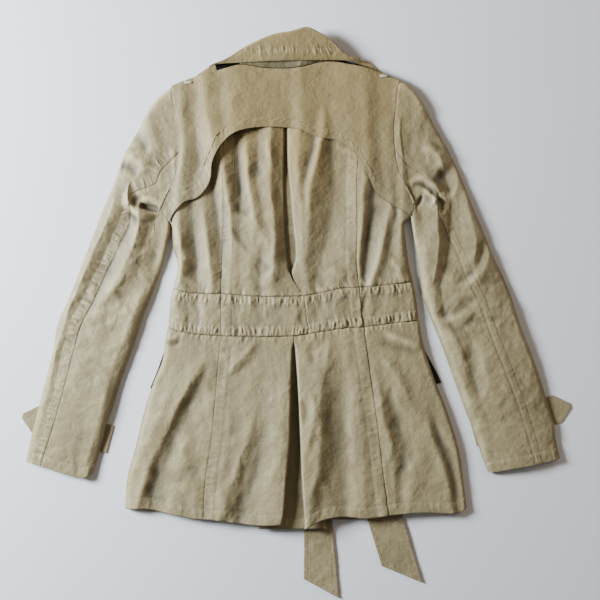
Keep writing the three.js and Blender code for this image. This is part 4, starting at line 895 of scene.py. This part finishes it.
LEFT_CREASES = [
    [(-305, 180, 0), (-322, 140, 0), (-338, 100, 0), (-367, 20, 0), (-393, -60, 0), (-424, -191, 0),
     (-434, -240, 0)],
    [(-291, 180, 4), (-306, 140, 4), (-325, 100, 4), (-340, 60, 3.6), (-359, 20, 3), (-373, -20, 2.4),
     (-384, -60, 2),
     (-396, -120, 1.4), (-425, -240, 0.8)],
    [(-272, 180, -3), (-288, 140, -4), (-305, 100, -3.6), (-325, 60, -2.8), (-345, 20, -2), (-366, -20, 0),
     (-375, -60, -1.4), (-388, -120, -0.4), (-416, -240, 0)],
    [(-262, 180, -4), (-268, 140, -4), (-288, 100, -3.6), (-306, 60, -3.6), (-324, 20, -2.6),
     (-344, -20, -1.4),
     (-356, -60, -0.6), (-371, -120, 0), (-408, -242, 0)],
    [(-252, 180, 3), (-250, 140, 8), (-262, 100, 7), (-284, 60, 4), (-304, 20, 1.6), (-318, -20, 1.6),
     (-332, -60, 1), (-348, -120, 0.6), (-376, -240, 0.4)],
    [(-240, 180, 0), (-236, 140, 1.5), (-246, 100, 1), (-256, 60, 0.6), (-274, 20, 0.8), (-290, -20, 0),
     (-311, -60, 0.8), (-328, -120, 0.4), (-350, -240, 0)],
    [(-224, 180, 0), (-217, 140, -5.4), (-223, 100, -4.4), (-238, 60, 0.6), (-252, 20, 5.6),
     (-266, -20, 5.6), (-284, -60, 5),
     (-302, -120, 4), (-336, -240, 2.4)],
    [(-206, 180, 0), (-203, 140, 0), (-209, 100, 0), (-236, 20, 0), (-264, -60, 0), (-285, -120, 0),
     (-326, -256, 0)],
]
RIGHT_CREASES = [
    [(186, 180, 0), (190, 113, 0), (204, 25, 0), (236, -57, 0), (269, -148, 0), (308, -254, 0)],
    [(200, 170, -1), (203, 120, 3.6), (206, 80, 4.4), (210, 40, 5), (220, 0, 4.4), (238, -40, 3),
     (298, -200, 1.4)],
    [(224, 175, 5), (226, 120, 5.6), (225, 80, 5), (218, 45, 5), (224, 0, 3.6), (250, -40, 2),
     (306, -200, 1)],
    [(248, 175, -6), (246, 120, -5.4), (242, 80, -4.6), (230, 45, -0.8), (236, 0, 0), (262, -40, -1),
     (316, -200, 0)],
    [(260, 175, -4), (263, 120, -3), (264, 80, -2.4), (256, 45, 1.6), (262, 0, 1.6), (284, -40, 1.6),
     (336, -200, 1)],
    [(274, 170, 1.6), (286, 120, 4), (284, 80, 4), (296, 45, 2.4), (306, 0, 2), (326, -60, 2),
     (376, -200, 1)],
    [(290, 170, 0), (306, 120, 0), (323, 80, 0), (345, 30, 0), (376, -60, 0), (413, -175, 0),
     (423, -231, 0)],
]
# Folds of both sleeves, in the same columns as those of the skirt
SLEEVE_FOLDS = [
    ([(-262, 305), (-246, 275), (-236, 255)], -3.4, 8, 8, 1.4),
    ([(-240, 320), (-226, 282), (-213, 250)], 4.0, 11, 8, 1.4),
    ([(-216, 332), (-206, 300), (-197, 270)], 2.4, 6, 6, 1.3),
    ([(-270, 264), (-250, 241), (-230, 230)], 3.0, 8, 8, 1.4),
    ([(-288, 240), (-270, 236), (-246, 226)], -3.0, 7, 8, 1.4),
    ([(-226, 246), (-214, 216), (-208, 196)], 2.6, 6, 7, 1.4),
    ([(-266, 216), (-269, 196), (-265, 172), (-250, 161), (-230, 159), (-210, 158)], 7.5, 5, 6, 1.3),
    ([(-254, 166), (-250, 178), (-236, 184), (-219, 177), (-206, 160)], 3.6, 3, 3, 1.3),
    ([(-308, 28), (-290, 42), (-270, 70)], 1.6, 7, 5, 1.4),
    ([(-318, 2), (-296, 20), (-262, 34)], -1.4, 8, 6, 1.4),
    ([(-300, -30), (-284, 0), (-262, 14)], 1.6, 6, 8, 1.4),
    ([(-318, -70), (-310, -150), (-318, -220)], 2.0, 20, 12, 1.8),
    ([(214, 342), (206, 302), (197, 270)], -3.0, 8, 8, 1.5),
    ([(188, 304), (182, 277), (176, 246)], -3.6, 6, 5, 1.4),
    ([(196, 262), (214, 263), (228, 250), (239, 224)], 4.4, 8, 7, 1.4),
    ([(228, 236), (240, 214), (248, 186)], -5.0, 9, 9, 1.6),
    ([(301, 130), (297, 95), (286, 73), (264, 55), (243, 38)], -2.6, 8, 6, 1.3),
    ([(311, 112), (306, 85), (292, 62), (270, 45)], 1.8, 8, 8, 1.4),
    ([(296, 36), (278, 20), (262, 7), (240, 0), (218, -7)], -2.2, 7, 6, 1.3),
    ([(298, 24), (276, 6), (254, -6), (232, -12)], 1.6, 7, 9, 1.3),
    ([(294, 4), (280, -10), (272, -22)], -1.2, 6, 7, 1.4),
    ([(236, -20), (262, -52), (280, -102)], 2.6, 10, 12, 1.6),
    ([(272, -40), (284, -90), (292, -150)], -2.8, 10, 10, 1.6),
    ([(322, 60), (346, 0), (372, -70), (394, -140)], 2.2, 14, 12, 1.8),
    ([(181, 198), (188, 213), (202, 217), (218, 207), (234, 190)], 4.2, 4, 5, 1.4),
    ([(186, 197), (190, 207), (200, 208), (213, 198), (228, 183)], -4.0, 2.5, 2.5, 1.3),
    ([(200, 204), (212, 194), (222, 183), (212, 173)], 4.6, 3, 3, 1.3),
    ([(224, 190), (232, 176), (232, 160)], -4.0, 4, 4, 1.5),
]
# Where each sleeve was squeezed in under its armhole: hollows with steep walls. Columns: middle, half
# length and half width, turn in degrees, and depth
HOLLOWS = [
    ((-233, 170), (17, 6.5), -14, 10.5), ((-252, 179), (11, 14), 20, 3.5),
    ((197, 181), (11, 3.6), 58, 7),
]


def hollow_height(x, y):
    """Height that the hollows take away at each place"""
    total = np.zeros_like(x)
    for (cx, cy), (long, wide), turn, depth in HOLLOWS:
        c, k = math.cos(math.radians(turn)), math.sin(math.radians(turn))
        u, w = ((x - cx) * c + (y - cy) * k) / long, ((y - cy) * c - (x - cx) * k) / wide
        total = total - depth * (1 - ease((np.hypot(u, w) - 0.55) / 0.6))
    return total


# The cuff straps run under the sleeves, from one end to the other
STRAPS = [
    dict(name="cuff_strap_left", start=(-299, -201), end=(-440, -163)),
    dict(name="cuff_strap_right", start=(284, -190), end=(440, -146.5)),
]
STRAP_WIDTH = 46


def strap_bed(x, y):
    """How far the straps under the cuffs lift the sleeves"""
    beds = []
    for strap in STRAPS:
        dx, dy = strap["end"][0] - strap["start"][0], strap["end"][1] - strap["start"][1]
        aside = np.abs((x - strap["start"][0]) * dy - (y - strap["start"][1]) * dx) / math.hypot(dx, dy)
        side = (x < 0) if strap["end"][0] < 0 else (x > 0)
        beds.append(np.where(side, 2.1 * (1 - ease((aside - STRAP_WIDTH / 2 - 24) / 40)), 0))
    return np.maximum(*beds)


def from_line(line, x, y):
    """Distance from a line, and how far along it, at each place"""
    p = line(np.linspace(0, 1, 500))
    run = np.concatenate([[0], np.cumsum(np.linalg.norm(np.diff(p, axis=0), axis=1))])
    best, along = np.full(x.shape, 1e9), np.zeros_like(x)
    for (px, py), s in zip(p, run):
        gap = np.hypot(x - px, y - py)
        along = np.where(gap < best, s, along)
        best = np.minimum(gap, best)
    return best, along


def sleeve_piece(name, table, width, edges, turned_side, arm_part, hem_part, side_lines, seed):
    """A sleeve piece: its face lies on top from the back seam to its edge, and its hidden side goes on
    round the edge and back underneath."""
    u, v = cut_grid((width, 600), 2.0, turned_side)
    xy = patch(arm_part, hem_part, *side_lines)(u, v)
    x, y = xy[..., 0], xy[..., 1]
    distance, along = from_edges(xy)
    sewn_side = "right" if turned_side == "left" else "left"
    distance[sewn_side], along[sewn_side] = from_line(table["seam"], x, y)
    t = np.linspace(0, 1, 400)
    edges_x = [np.interp(-y, -table[key](t)[:, 1], table[key](t)[:, 0]) for key in ("outer", "inner")]
    share = np.clip((x - edges_x[0]) / (edges_x[1] - edges_x[0]), 0.001, 0.999)
    creases = LEFT_CREASES if table is SLEEVE_LEFT else RIGHT_CREASES
    flat = (SLEEVE_SIDE + 5.5 * np.sin(math.pi * share) ** 0.7 + fold_height(SLEEVE_FOLDS, x, y)
            + 0.9 * creased(creases, x, y) * ease((205 - y) / 40) + 0.8 * crumple(x, y, 56)
            + hollow_height(x, y))
    full = blurred(mix(flap_height(x, y), np.maximum(flat, 2.6), ease(v * 5)), 1)
    for k, (side, kind) in enumerate(edges.items()):
        full = full + edge_relief(kind, distance[side], along[side], seed * 10 + k)
    turn = rounded(distance[turned_side], EDGE_ROLL)
    top = np.dstack([x, y, full / 2 * (1 + turn)])
    # The hidden side takes the lines of the rounded edge and every sixth of the others
    keep = list(range(0, 7)) + list(range(7, top.shape[1], 6))
    if turned_side == "right":
        keep = sorted(top.shape[1] - 1 - k for k in keep)
    bed = strap_bed(x, y) + 1.3 * ease((y - 110) / 25)
    under = np.dstack([x, y, mix(full / 2, bed, turn)])[:, keep]
    if turned_side == "left":
        points = np.concatenate([under[:, ::-1][:, :-1], top], axis=1)
    else:
        points = np.concatenate([top, under[:, ::-1][:, 1:]], axis=1)
    sew(top, distance, edges)
    return cloth(name + "_cloth", points, cotton)


def along_part(line, a, b):
    """The stretch of a line between two shares of its length"""
    return lambda t: line(a + (b - a) * t)


def share_at(rows, count):
    """Share of a line's length at which its row number count lies"""
    t = np.linspace(0, 1, 2000)
    line = seam(rows)(t)
    return t[np.argmin(np.hypot(line[:, 0] - rows[count][0], line[:, 1] - rows[count][1]))]


arm_left, arm_right = seam(ARM_LEFT), seam(ARM_RIGHT)
k_left, k_right = share_at(ARM_LEFT, 4), share_at(ARM_RIGHT, 4)
sleeve_edges = {"top": "seam", "bottom": "hem"}
sleeve_piece("sleeve_left_top", SLEEVE_LEFT, 90, {"right": "puckered", **sleeve_edges}, "left",
             along_part(arm_left, 0, k_left), part(SLEEVE_LEFT["hem"], -434, -408),
             (SLEEVE_LEFT["outer"], SLEEVE_LEFT["seam"]), 16)
sleeve_piece("sleeve_left_under", SLEEVE_LEFT, 84, {"left": "seam", **sleeve_edges}, "right",
             along_part(arm_left, k_left, 1), part(SLEEVE_LEFT["hem"], -408, -326),
             (SLEEVE_LEFT["seam"], SLEEVE_LEFT["inner"]), 17)
sleeve_piece("sleeve_right_top", SLEEVE_RIGHT, 90, {"left": "twin", **sleeve_edges}, "right",
             along_part(arm_right, k_right, 0), part(SLEEVE_RIGHT["hem"], 382, 423),
             (SLEEVE_RIGHT["seam"], SLEEVE_RIGHT["outer"]), 18)
sleeve_piece("sleeve_right_under", SLEEVE_RIGHT, 84, {"right": "seam", **sleeve_edges}, "left",
             along_part(arm_right, 1, k_right), part(SLEEVE_RIGHT["hem"], 308, 382),
             (SLEEVE_RIGHT["inner"], SLEEVE_RIGHT["seam"]), 19)


# Fronts: six hidden panels of gabardine under the back, face down, sewn to it at the sides, shoulders
# and waistband. They lie on the belt, buttons, lapels and straps, which lift them, and the left front
# lies over the right one. Columns of BEDS: left, right, low and high edge of what lifts them, and rise.
BEDS = [
    (-330, 330, -36, 40, 2.1), (-98, 98, -40, 165, 3.0), (-98, 195, -500, -20, 2.1),
    (-190, 170, 165, 470, 2.1), (-260, -160, -140, -30, 2.1), (150, 260, -140, -30, 2.1),
]

# How high the side seam lies for the cloth of the fronts
FRONT_SEAM = 3.9


def bed_height(x, y):
    """Height of what the fronts lie on"""
    beds = []
    for left, right, low, high, rise in BEDS:
        out = np.hypot(np.maximum(np.maximum(left - x, x - right), 0),
                       np.maximum(np.maximum(low - y, y - high), 0))
        beds.append(rise * (1 - ease(out / 26)))
    return np.maximum.reduce(beds)


def front_panel(name, place, size, side, start):
    """A front panel. Its outer side is its underside, and it turns up to the side seam."""
    xy = place(*cut_grid(size, 6, side))
    x, y = xy[..., 0], xy[..., 1]
    z = bed_height(x, y)
    if side == "left":
        z = z + 2.1 * ease((x + 134) / 30)
    distance, along = from_edges(xy)
    z = mix(z, mix(FRONT_SEAM, z, rounded(distance[side], EDGE_ROLL)), ease((start - y) / 14))
    return cloth(name + "_cloth", np.dstack([x, y, z])[:, ::-1], cotton, 1.2)


edge_left = seam([[-112, 405], [-90, 330], [-20, 225], [56, 140], [60, 45]])
edge_right = seam([[98, 407], [84, 330], [20, 235], [-56, 150], [-60, 45]])
neck_left = seam([[-199, 365], [-168, 378], [-146, 393], [-128, 403], [-112, 405]])
neck_right = seam([[98, 407], [115, 405], [129, 393], [147, 382], [166, 373]])
hem_left = seam([[-274, -311], [-200, -322], [-168, -331], [-130, -332], [-90, -338], [-26, -339],
                 [60, -332]])
hem_right = seam([[-60, -334], [50, -335], [115, -332], [150, -322], [273, -309]])
front_panel("front_left", patch(neck_left, straight((-197, 41), (60, 45)), side_left, edge_left),
            (250, 360), "left", 150)
front_panel("waist_front_left", patch(straight((-197, 41), (60, 45)), straight((-205, -20), (60, -24)),
                                      band_lines[0], straight((60, 45), (60, -24))), (260, 64), "left", 999)
front_panel("skirt_front_left", patch(straight((-205, -20), (60, -24)), hem_left, SKIRT_SIDE_LEFT,
                                      straight((60, -24), (60, -325))), (290, 300), "left", 999)
front_panel("front_right", patch(neck_right, straight((-60, 45), (187, 52)), edge_right, side_right),
            (250, 360), "right", 160)
front_panel("waist_front_right", patch(straight((-60, 45), (187, 52)), straight((-60, -24), (196, -9)),
                                       straight((-60, 45), (-60, -24)), band_lines[4]),
            (250, 64), "right", 999)
front_panel("skirt_front_right", patch(straight((-60, -24), (196, -9)), hem_right,
                                       straight((-60, -24), (-60, -325)), SKIRT_SIDE_RIGHT),
            (290, 300), "right", 999)

# Collar: a stand of doubled gabardine, sewn to the neck, and a fall that comes over its roll line and
# down to a stitched free edge. Worn open, it leaves the stand and the inner neck in sight; the stand is drawn
# in a darker, greyer copy of the gabardine and the inner neck as a near-black sheet, both painted shade.
# Heights are given at the ends and at the middle of the roll line and of the free edge.
COLLAR_FOLD = seam([[-139, 397], [-120, 404], [-104, 412], [-88, 422], [-68, 432], [-39, 444], [-7, 450],
                    [17, 456.3], [39, 447], [56, 436], [72, 422], [83, 414], [102, 409]])
COLLAR_EDGE = seam([[-140, 393], [-132, 398], [-90, 401], [6, 404], [70, 405], [103, 404]])
ROLL_HEIGHTS = (12, 26)
FREE_HEIGHTS = (10.5, 18.5)


def collar_swell(x):
    """From 0 at the two ends of the collar to 1 at its middle"""
    t = np.clip((x + 139) / 241, 0, 1)
    return np.sin(math.pi * t) ** 0.8


t = np.linspace(0, 1, 200)
fold, free = COLLAR_FOLD(t), COLLAR_EDGE(t)
deep = np.linalg.norm(free - fold, axis=1)
aim = (free - fold) / deep[:, None]
fold_top = mix(*ROLL_HEIGHTS, collar_swell(fold[:, 0]))
free_top = mix(*FREE_HEIGHTS, collar_swell(fold[:, 0]))
roll = np.minimum(2.8, deep / 3)
turn = np.linspace(0, math.pi / 2, 7)

# Lines along the collar, each by its distance from the roll line and its height: first the short inner
# side and the round of the fold, then the fall
INNER_LINES = 16
columns = []
for share in (0.3, 0.2, 0.12):
    columns.append((deep * share, fold_top - 2 * roll - share * (fold_top - free_top) * 0.4))
for angle in turn[::-1]:
    columns.append((roll * (1 - np.cos(angle)), fold_top - roll - roll * np.sin(angle)))
for angle in turn[1:]:
    columns.append((roll * (1 - np.cos(angle)), fold_top - roll + roll * np.sin(angle)))
for share in np.linspace(0, 1, 26)[1:]:
    out = roll + (deep - roll) * share
    columns.append((out, mix(fold_top, free_top, (out / deep) ** 1.4)))
q = np.array([c[0] for c in columns]).T
z = np.array([c[1] for c in columns]).T
xy = fold[:, None] + aim[:, None] * q[..., None]
over = np.arange(q.shape[1]) >= INNER_LINES
to_edge = np.where(over, deep[:, None] - q, 99)
run = lengths(xy, 0)
z = z + edge_relief("collar", to_edge, run, 77) * over
z = z + 0.5 * crumple(xy[..., 0], xy[..., 1], 61) * over * ease((q - 3) / 6)
points = np.dstack([xy, z])
sewn(points[:, INNER_LINES:], (deep[:, None] - q)[:, INNER_LINES:], 17.5, 1)
cloth("collar_fall_cloth", points[::-1], cotton, 1.2)


# Near-black matt weave: close dyed cotton for the pockets, and for the inner neck a sheet of painted shade
# that stands for the deep shadow within the coat. It is dull because its short fibres stand up, and faintly
# lighter on the crowns of its yarns
def black_cloth_and_painted_shade(name, dark, light, scale, roughness, shine):
    material, tree, shader = surface(name)
    place = node(tree, "ShaderNodeTexCoord")
    weave = node(tree, "ShaderNodeTexNoise",
                 {"Vector": place.outputs["Object"], "Scale": scale, "Detail": 3.0})
    tint = node(tree, "ShaderNodeValToRGB", {"Fac": weave.outputs["Fac"]})
    tint.color_ramp.elements[0].color = linear(dark)
    tint.color_ramp.elements[1].color = linear(light)
    tree.links.new(tint.outputs["Color"], shader.inputs["Base Color"])
    bump = node(tree, "ShaderNodeBump",
                {"Height": weave.outputs["Fac"], "Strength": 0.4, "Distance": 0.0002})
    tree.links.new(bump.outputs["Normal"], shader.inputs["Normal"])
    shader.inputs["Roughness"].default_value = roughness
    shader.inputs["Specular IOR Level"].default_value = shine
    return material


# The inner neck: a near-black sheet laid where the neck opening is in deep shadow, painted shade
neck_shadow_material = black_cloth_and_painted_shade("inner_neck_painted_shadow", "#060605", "#100F0C", 800.0, 0.9, 0.1)
v, u = np.meshgrid(np.linspace(0, 1, 12), np.linspace(0, 1, 70), indexing="ij")
neck_top = seam([[-130, 399.5], [-106, 406], [-40, 425], [17, 432], [60, 414], [86, 403.5], [110, 397],
                 [138, 384]])
neck_low = seam([[-127, 390], [-104, 389], [-40, 388], [17, 390], [60, 394], [86, 394], [110, 389],
                 [138, 380]])
xy = mix(neck_top(u), neck_low(u), v[..., None])
z = 8.2 + 0.4 * crumple(xy[..., 0], xy[..., 1], 75)
cloth("neck_facing", np.dstack([xy, z]), neck_shadow_material, 1.0)

# The stand is drawn in a darker, greyer copy of the gabardine: painted shade for the shadow that the fall
# casts on it
stand_shade_twill = gabardine("stand_gabardine_painted_shade", "#8C8672", "#6C6650", "#46412F")
neck = part(SHOULDER, -90, 48)
stand_top = seam([[-84, 413], [-36, 431], [17, 441], [50, 424]])
v, u = np.meshgrid(np.linspace(0, 1, 16), np.linspace(0, 1, 70), indexing="ij")
low, high = neck(u) + [0, 0.8], stand_top(u)
xy = mix(high, low, v[..., None])
z = mix(mix(*ROLL_HEIGHTS, collar_swell(high[..., 0])) - 6.8, flap_height(low[..., 0], low[..., 1]), v)
cloth("collar_stand_cloth", np.dstack([xy, z + 1.1 * crumple(xy[..., 0], xy[..., 1], 71)]), stand_shade_twill,
      1.2)


# Lapels, collar points and belt: flat doubled pieces of gabardine under the fronts, turned out and
# pressed, so their edges are thin and rounded. The belt runs round the front to a knot and is hidden too.
def plate(name, outline, material=cotton, thickness=1.6):
    """A flat piece of doubled cloth with rounded edges"""
    shape = np.array(outline, float)
    bm = bmesh.new()
    verts = [bm.verts.new((x * MM, y * MM, 0)) for x, y in shape]
    base = bm.faces.new(verts)
    bmesh.ops.recalc_face_normals(bm, faces=bm.faces)
    if base.normal.z < 0:
        base.normal_flip()
    raised = bmesh.ops.extrude_face_region(bm, geom=[base])
    top = [g for g in raised["geom"] if isinstance(g, bmesh.types.BMVert)]
    bmesh.ops.translate(bm, verts=top, vec=(0, 0, thickness * MM))
    if base.is_valid:
        base.normal_flip()
    bmesh.ops.recalc_face_normals(bm, faces=bm.faces)
    rim = [e for e in bm.edges if len(e.link_faces) == 2 and e.calc_face_angle(0) > 0.5]
    bmesh.ops.bevel(bm, geom=rim, offset=0.45 * MM, segments=2, profile=0.5, affect="EDGES", material=-1)
    bmesh.ops.triangulate(bm, faces=[f for f in bm.faces if len(f.verts) > 4])
    bmesh.ops.recalc_face_normals(bm, faces=bm.faces)
    mesh = bpy.data.meshes.new(name)
    bm.to_mesh(mesh)
    bm.free()
    mesh.materials.append(material)
    corner = np.array([mesh.vertices[l.vertex_index].co[:2] for l in mesh.loops])
    mesh.uv_layers.new(name="cut").data.foreach_set("uv", corner.ravel())
    piece = bpy.data.objects.new(name, mesh)
    bpy.context.collection.objects.link(piece)
    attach(piece, "root")
    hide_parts(name.removesuffix("_cloth"))
    return piece


plate("lapel_left_cloth", [[-108, 362], [-28, 205], [-92, 262], [-142, 322]])
plate("lapel_right_cloth", [[88, 366], [20, 222], [84, 262], [126, 322]])
plate("collar_point_left_cloth", [[-122, 390], [-112, 367], [-144, 327], [-166, 352]])
plate("collar_point_right_cloth", [[102, 392], [92, 369], [128, 327], [146, 350]])
plate("belt_left_cloth", [[-190, -26], [17.7, -26], [17.7, 31], [-190, 31]])
plate("belt_right_cloth", [[74.3, -26], [182, -26], [182, 31], [74.3, 31]])
plate("belt_knot_cloth", [[18, -30], [74, -30], [74, 35], [18, 35]], thickness=2.5)


# Belt ends: the two loose ends of the tie belt, doubled gabardine with two stitch rows along each side
# and one at the tip. They hang from the knot, come out below the hem and lie on the floor. Their upper
# side is 2.8 mm high and nowhere so low that the cloth under it would sink into the floor.
TIE_TOP, TIE_LEAST = 2.8, 1.95


def ribbon(name, left, right, rows=190, columns=26):
    """A tie end between its two edges"""
    v, u = np.meshgrid(np.linspace(0, 1, rows), np.linspace(0, 1, columns), indexing="ij")
    xy = mix(seam(left)(v), seam(right)(v), u[..., None])
    from_left = lengths(xy, 1)
    from_right = from_left[:, -1:] - from_left
    from_end = lengths(xy, 0)[-1:] - lengths(xy, 0)
    z = TIE_TOP + 0.35 * crumple(xy[..., 0], xy[..., 1], 88)
    sides = ((from_left, from_end), (from_right, from_end), (from_end, from_left))
    for k, (distance, along) in enumerate(sides):
        z = z + edge_relief("strip", distance, along, 60 + k)
    points = np.dstack([xy, np.maximum(z, TIE_LEAST)])
    for offset in (5, 17):
        sewn(points, from_left, offset, 1)
        sewn(points, from_right, offset, 1)
    sewn(points, from_end, 6, 0)
    return cloth(name + "_cloth", points, cotton, 1.6)


ribbon("belt_end_left", [[18, -30.3], [15, -100], [13, -300], [12, -425]],
       [[44, -30.3], [52, -100], [56, -300], [68, -455.7]])
ribbon("belt_end_right", [[47, -30.3], [57, -100], [106, -300], [137, -404]],
       [[74, -30.3], [98, -100], [163, -300], [202, -431]])

# Cuff straps: doubled strips of gabardine with a pointed tip, stitched along both edges and round the
# tip. They go under the cuffs and come out beyond the sleeves.
for strap in STRAPS:
    start, end = np.array(strap["start"], float), np.array(strap["end"], float)
    ahead = (end - start) / np.linalg.norm(end - start)
    side = np.array([-ahead[1], ahead[0]])
    length = np.linalg.norm(end - start)
    cut = ((0, -23), (length - 22, -23), (length, -4), (length, 4), (length - 22, 23), (0, 23))
    plate(strap["name"] + "_cloth", [start + ahead * a + side * b for a, b in cut])
    row = ((30, -17.5), (length - 24, -17.5), (length - 6, -3), (length - 6, 3), (length - 24, 17.5),
           (30, 17.5))
    stitch_rows.append(np.array([[*(start + ahead * a + side * b), 1.6] for a, b in row]))

# Pocket welts: the black cotton pocketing that shows in the two slit openings beside the skirt. It is
# a plain matt weave, sewn in behind the slit.
pocketing = black_cloth_and_painted_shade("black_pocket_cotton", "#141210", "#2A2620", 700.0, 0.85, 0.5)
plate("pocket_welt_left_cloth", [[-212, -58], [-222, -87], [-235, -119], [-206, -122], [-190, -62]],
      pocketing)
plate("pocket_welt_right_cloth", [[203, -51], [226, -94], [233, -110], [204, -116], [180, -56]],
      pocketing)

# Buttons: four of cast resin in imitation of brown horn, turned with a raised rim and sewn on with
# thread. Casting leaves drawn-out dark streaks under a satin face. The solids keep their shape.
horn, tree, shader = surface("brown_horn_resin")
place = node(tree, "ShaderNodeTexCoord")
streaks = node(tree, "ShaderNodeTexNoise",
               {"Vector": place.outputs["Object"], "Scale": 160.0, "Detail": 5.0, "Distortion": 1.5})
tint = node(tree, "ShaderNodeValToRGB", {"Fac": streaks.outputs["Fac"]})
tint.color_ramp.elements[0].position = 0.3
tint.color_ramp.elements[0].color = linear("#35261A")
tint.color_ramp.elements[1].position = 0.7
tint.color_ramp.elements[1].color = linear("#7A6144")
tree.links.new(tint.outputs["Color"], shader.inputs["Base Color"])
shader.inputs["Roughness"].default_value = 0.35
for k in range(4):
    button = bpy.data.objects[f"button_{k + 1}"]
    for material_slot in button.material_slots:
        material_slot.material = horn

# Thread loops: two small worked loops at the shoulder points, of pale cotton thread from the flap's
# edge. The twist of the plies gives a fine light and dark stripe. The solids keep their shape.
thread, tree, shader = surface("pale_cotton_thread")
place = node(tree, "ShaderNodeTexCoord")
ply = node(tree, "ShaderNodeTexWave", {"Vector": place.outputs["Object"], "Scale": 900.0, "Distortion": 2.0})
tint = node(tree, "ShaderNodeValToRGB", {"Fac": ply.outputs["Fac"]})
tint.color_ramp.elements[0].color = linear("#9C9074")
tint.color_ramp.elements[1].color = linear("#C6BEA4")
tree.links.new(tint.outputs["Color"], shader.inputs["Base Color"])
shader.inputs["Roughness"].default_value = 0.7
for name in ("shoulder_loop_left", "shoulder_loop_right"):
    for material_slot in bpy.data.objects[name].material_slots:
        material_slot.material = thread

# Stitches: cotton thread, one short rounded stitch after another along every sewn row. They are drawn
# 3.2 mm apart and a little thick, coarser than the real ones, which would not show at this size.
STITCH_PITCH = 3.2
STITCH_SIZE = (1.15, 0.33, 0.24)
bm = bmesh.new()
for line in stitch_rows:
    run = np.concatenate([[0], np.cumsum(np.linalg.norm(np.diff(line, axis=0), axis=1))])
    for s in np.arange(2, run[-1] - 2, STITCH_PITCH):
        a, b = ([np.interp(s + d, run, line[:, k]) for k in range(3)] for d in (-1, 1))
        ahead = Vector(b) - Vector(a)
        if ahead.length < 1e-6:
            continue
        turn = ahead.to_track_quat("X", "Z").to_matrix().to_4x4()
        middle = (Vector(a) + Vector(b)) * 0.5 * MM + Vector((0, 0, 0.1 * MM))
        scale = Matrix.Diagonal([c * MM for c in STITCH_SIZE] + [1])
        bmesh.ops.create_icosphere(bm, subdivisions=1, radius=1,
                                   matrix=Matrix.Translation(middle) @ turn @ scale)
stitch_mesh = bpy.data.meshes.new("stitches")
bm.to_mesh(stitch_mesh)
bm.free()
stitch_mesh.polygons.foreach_set("use_smooth", np.ones(len(stitch_mesh.polygons), bool))
stitch_mesh.materials.append(thread)
stitches = bpy.data.objects.new("stitches", stitch_mesh)
bpy.context.collection.objects.link(stitches)
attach(stitches, "root")
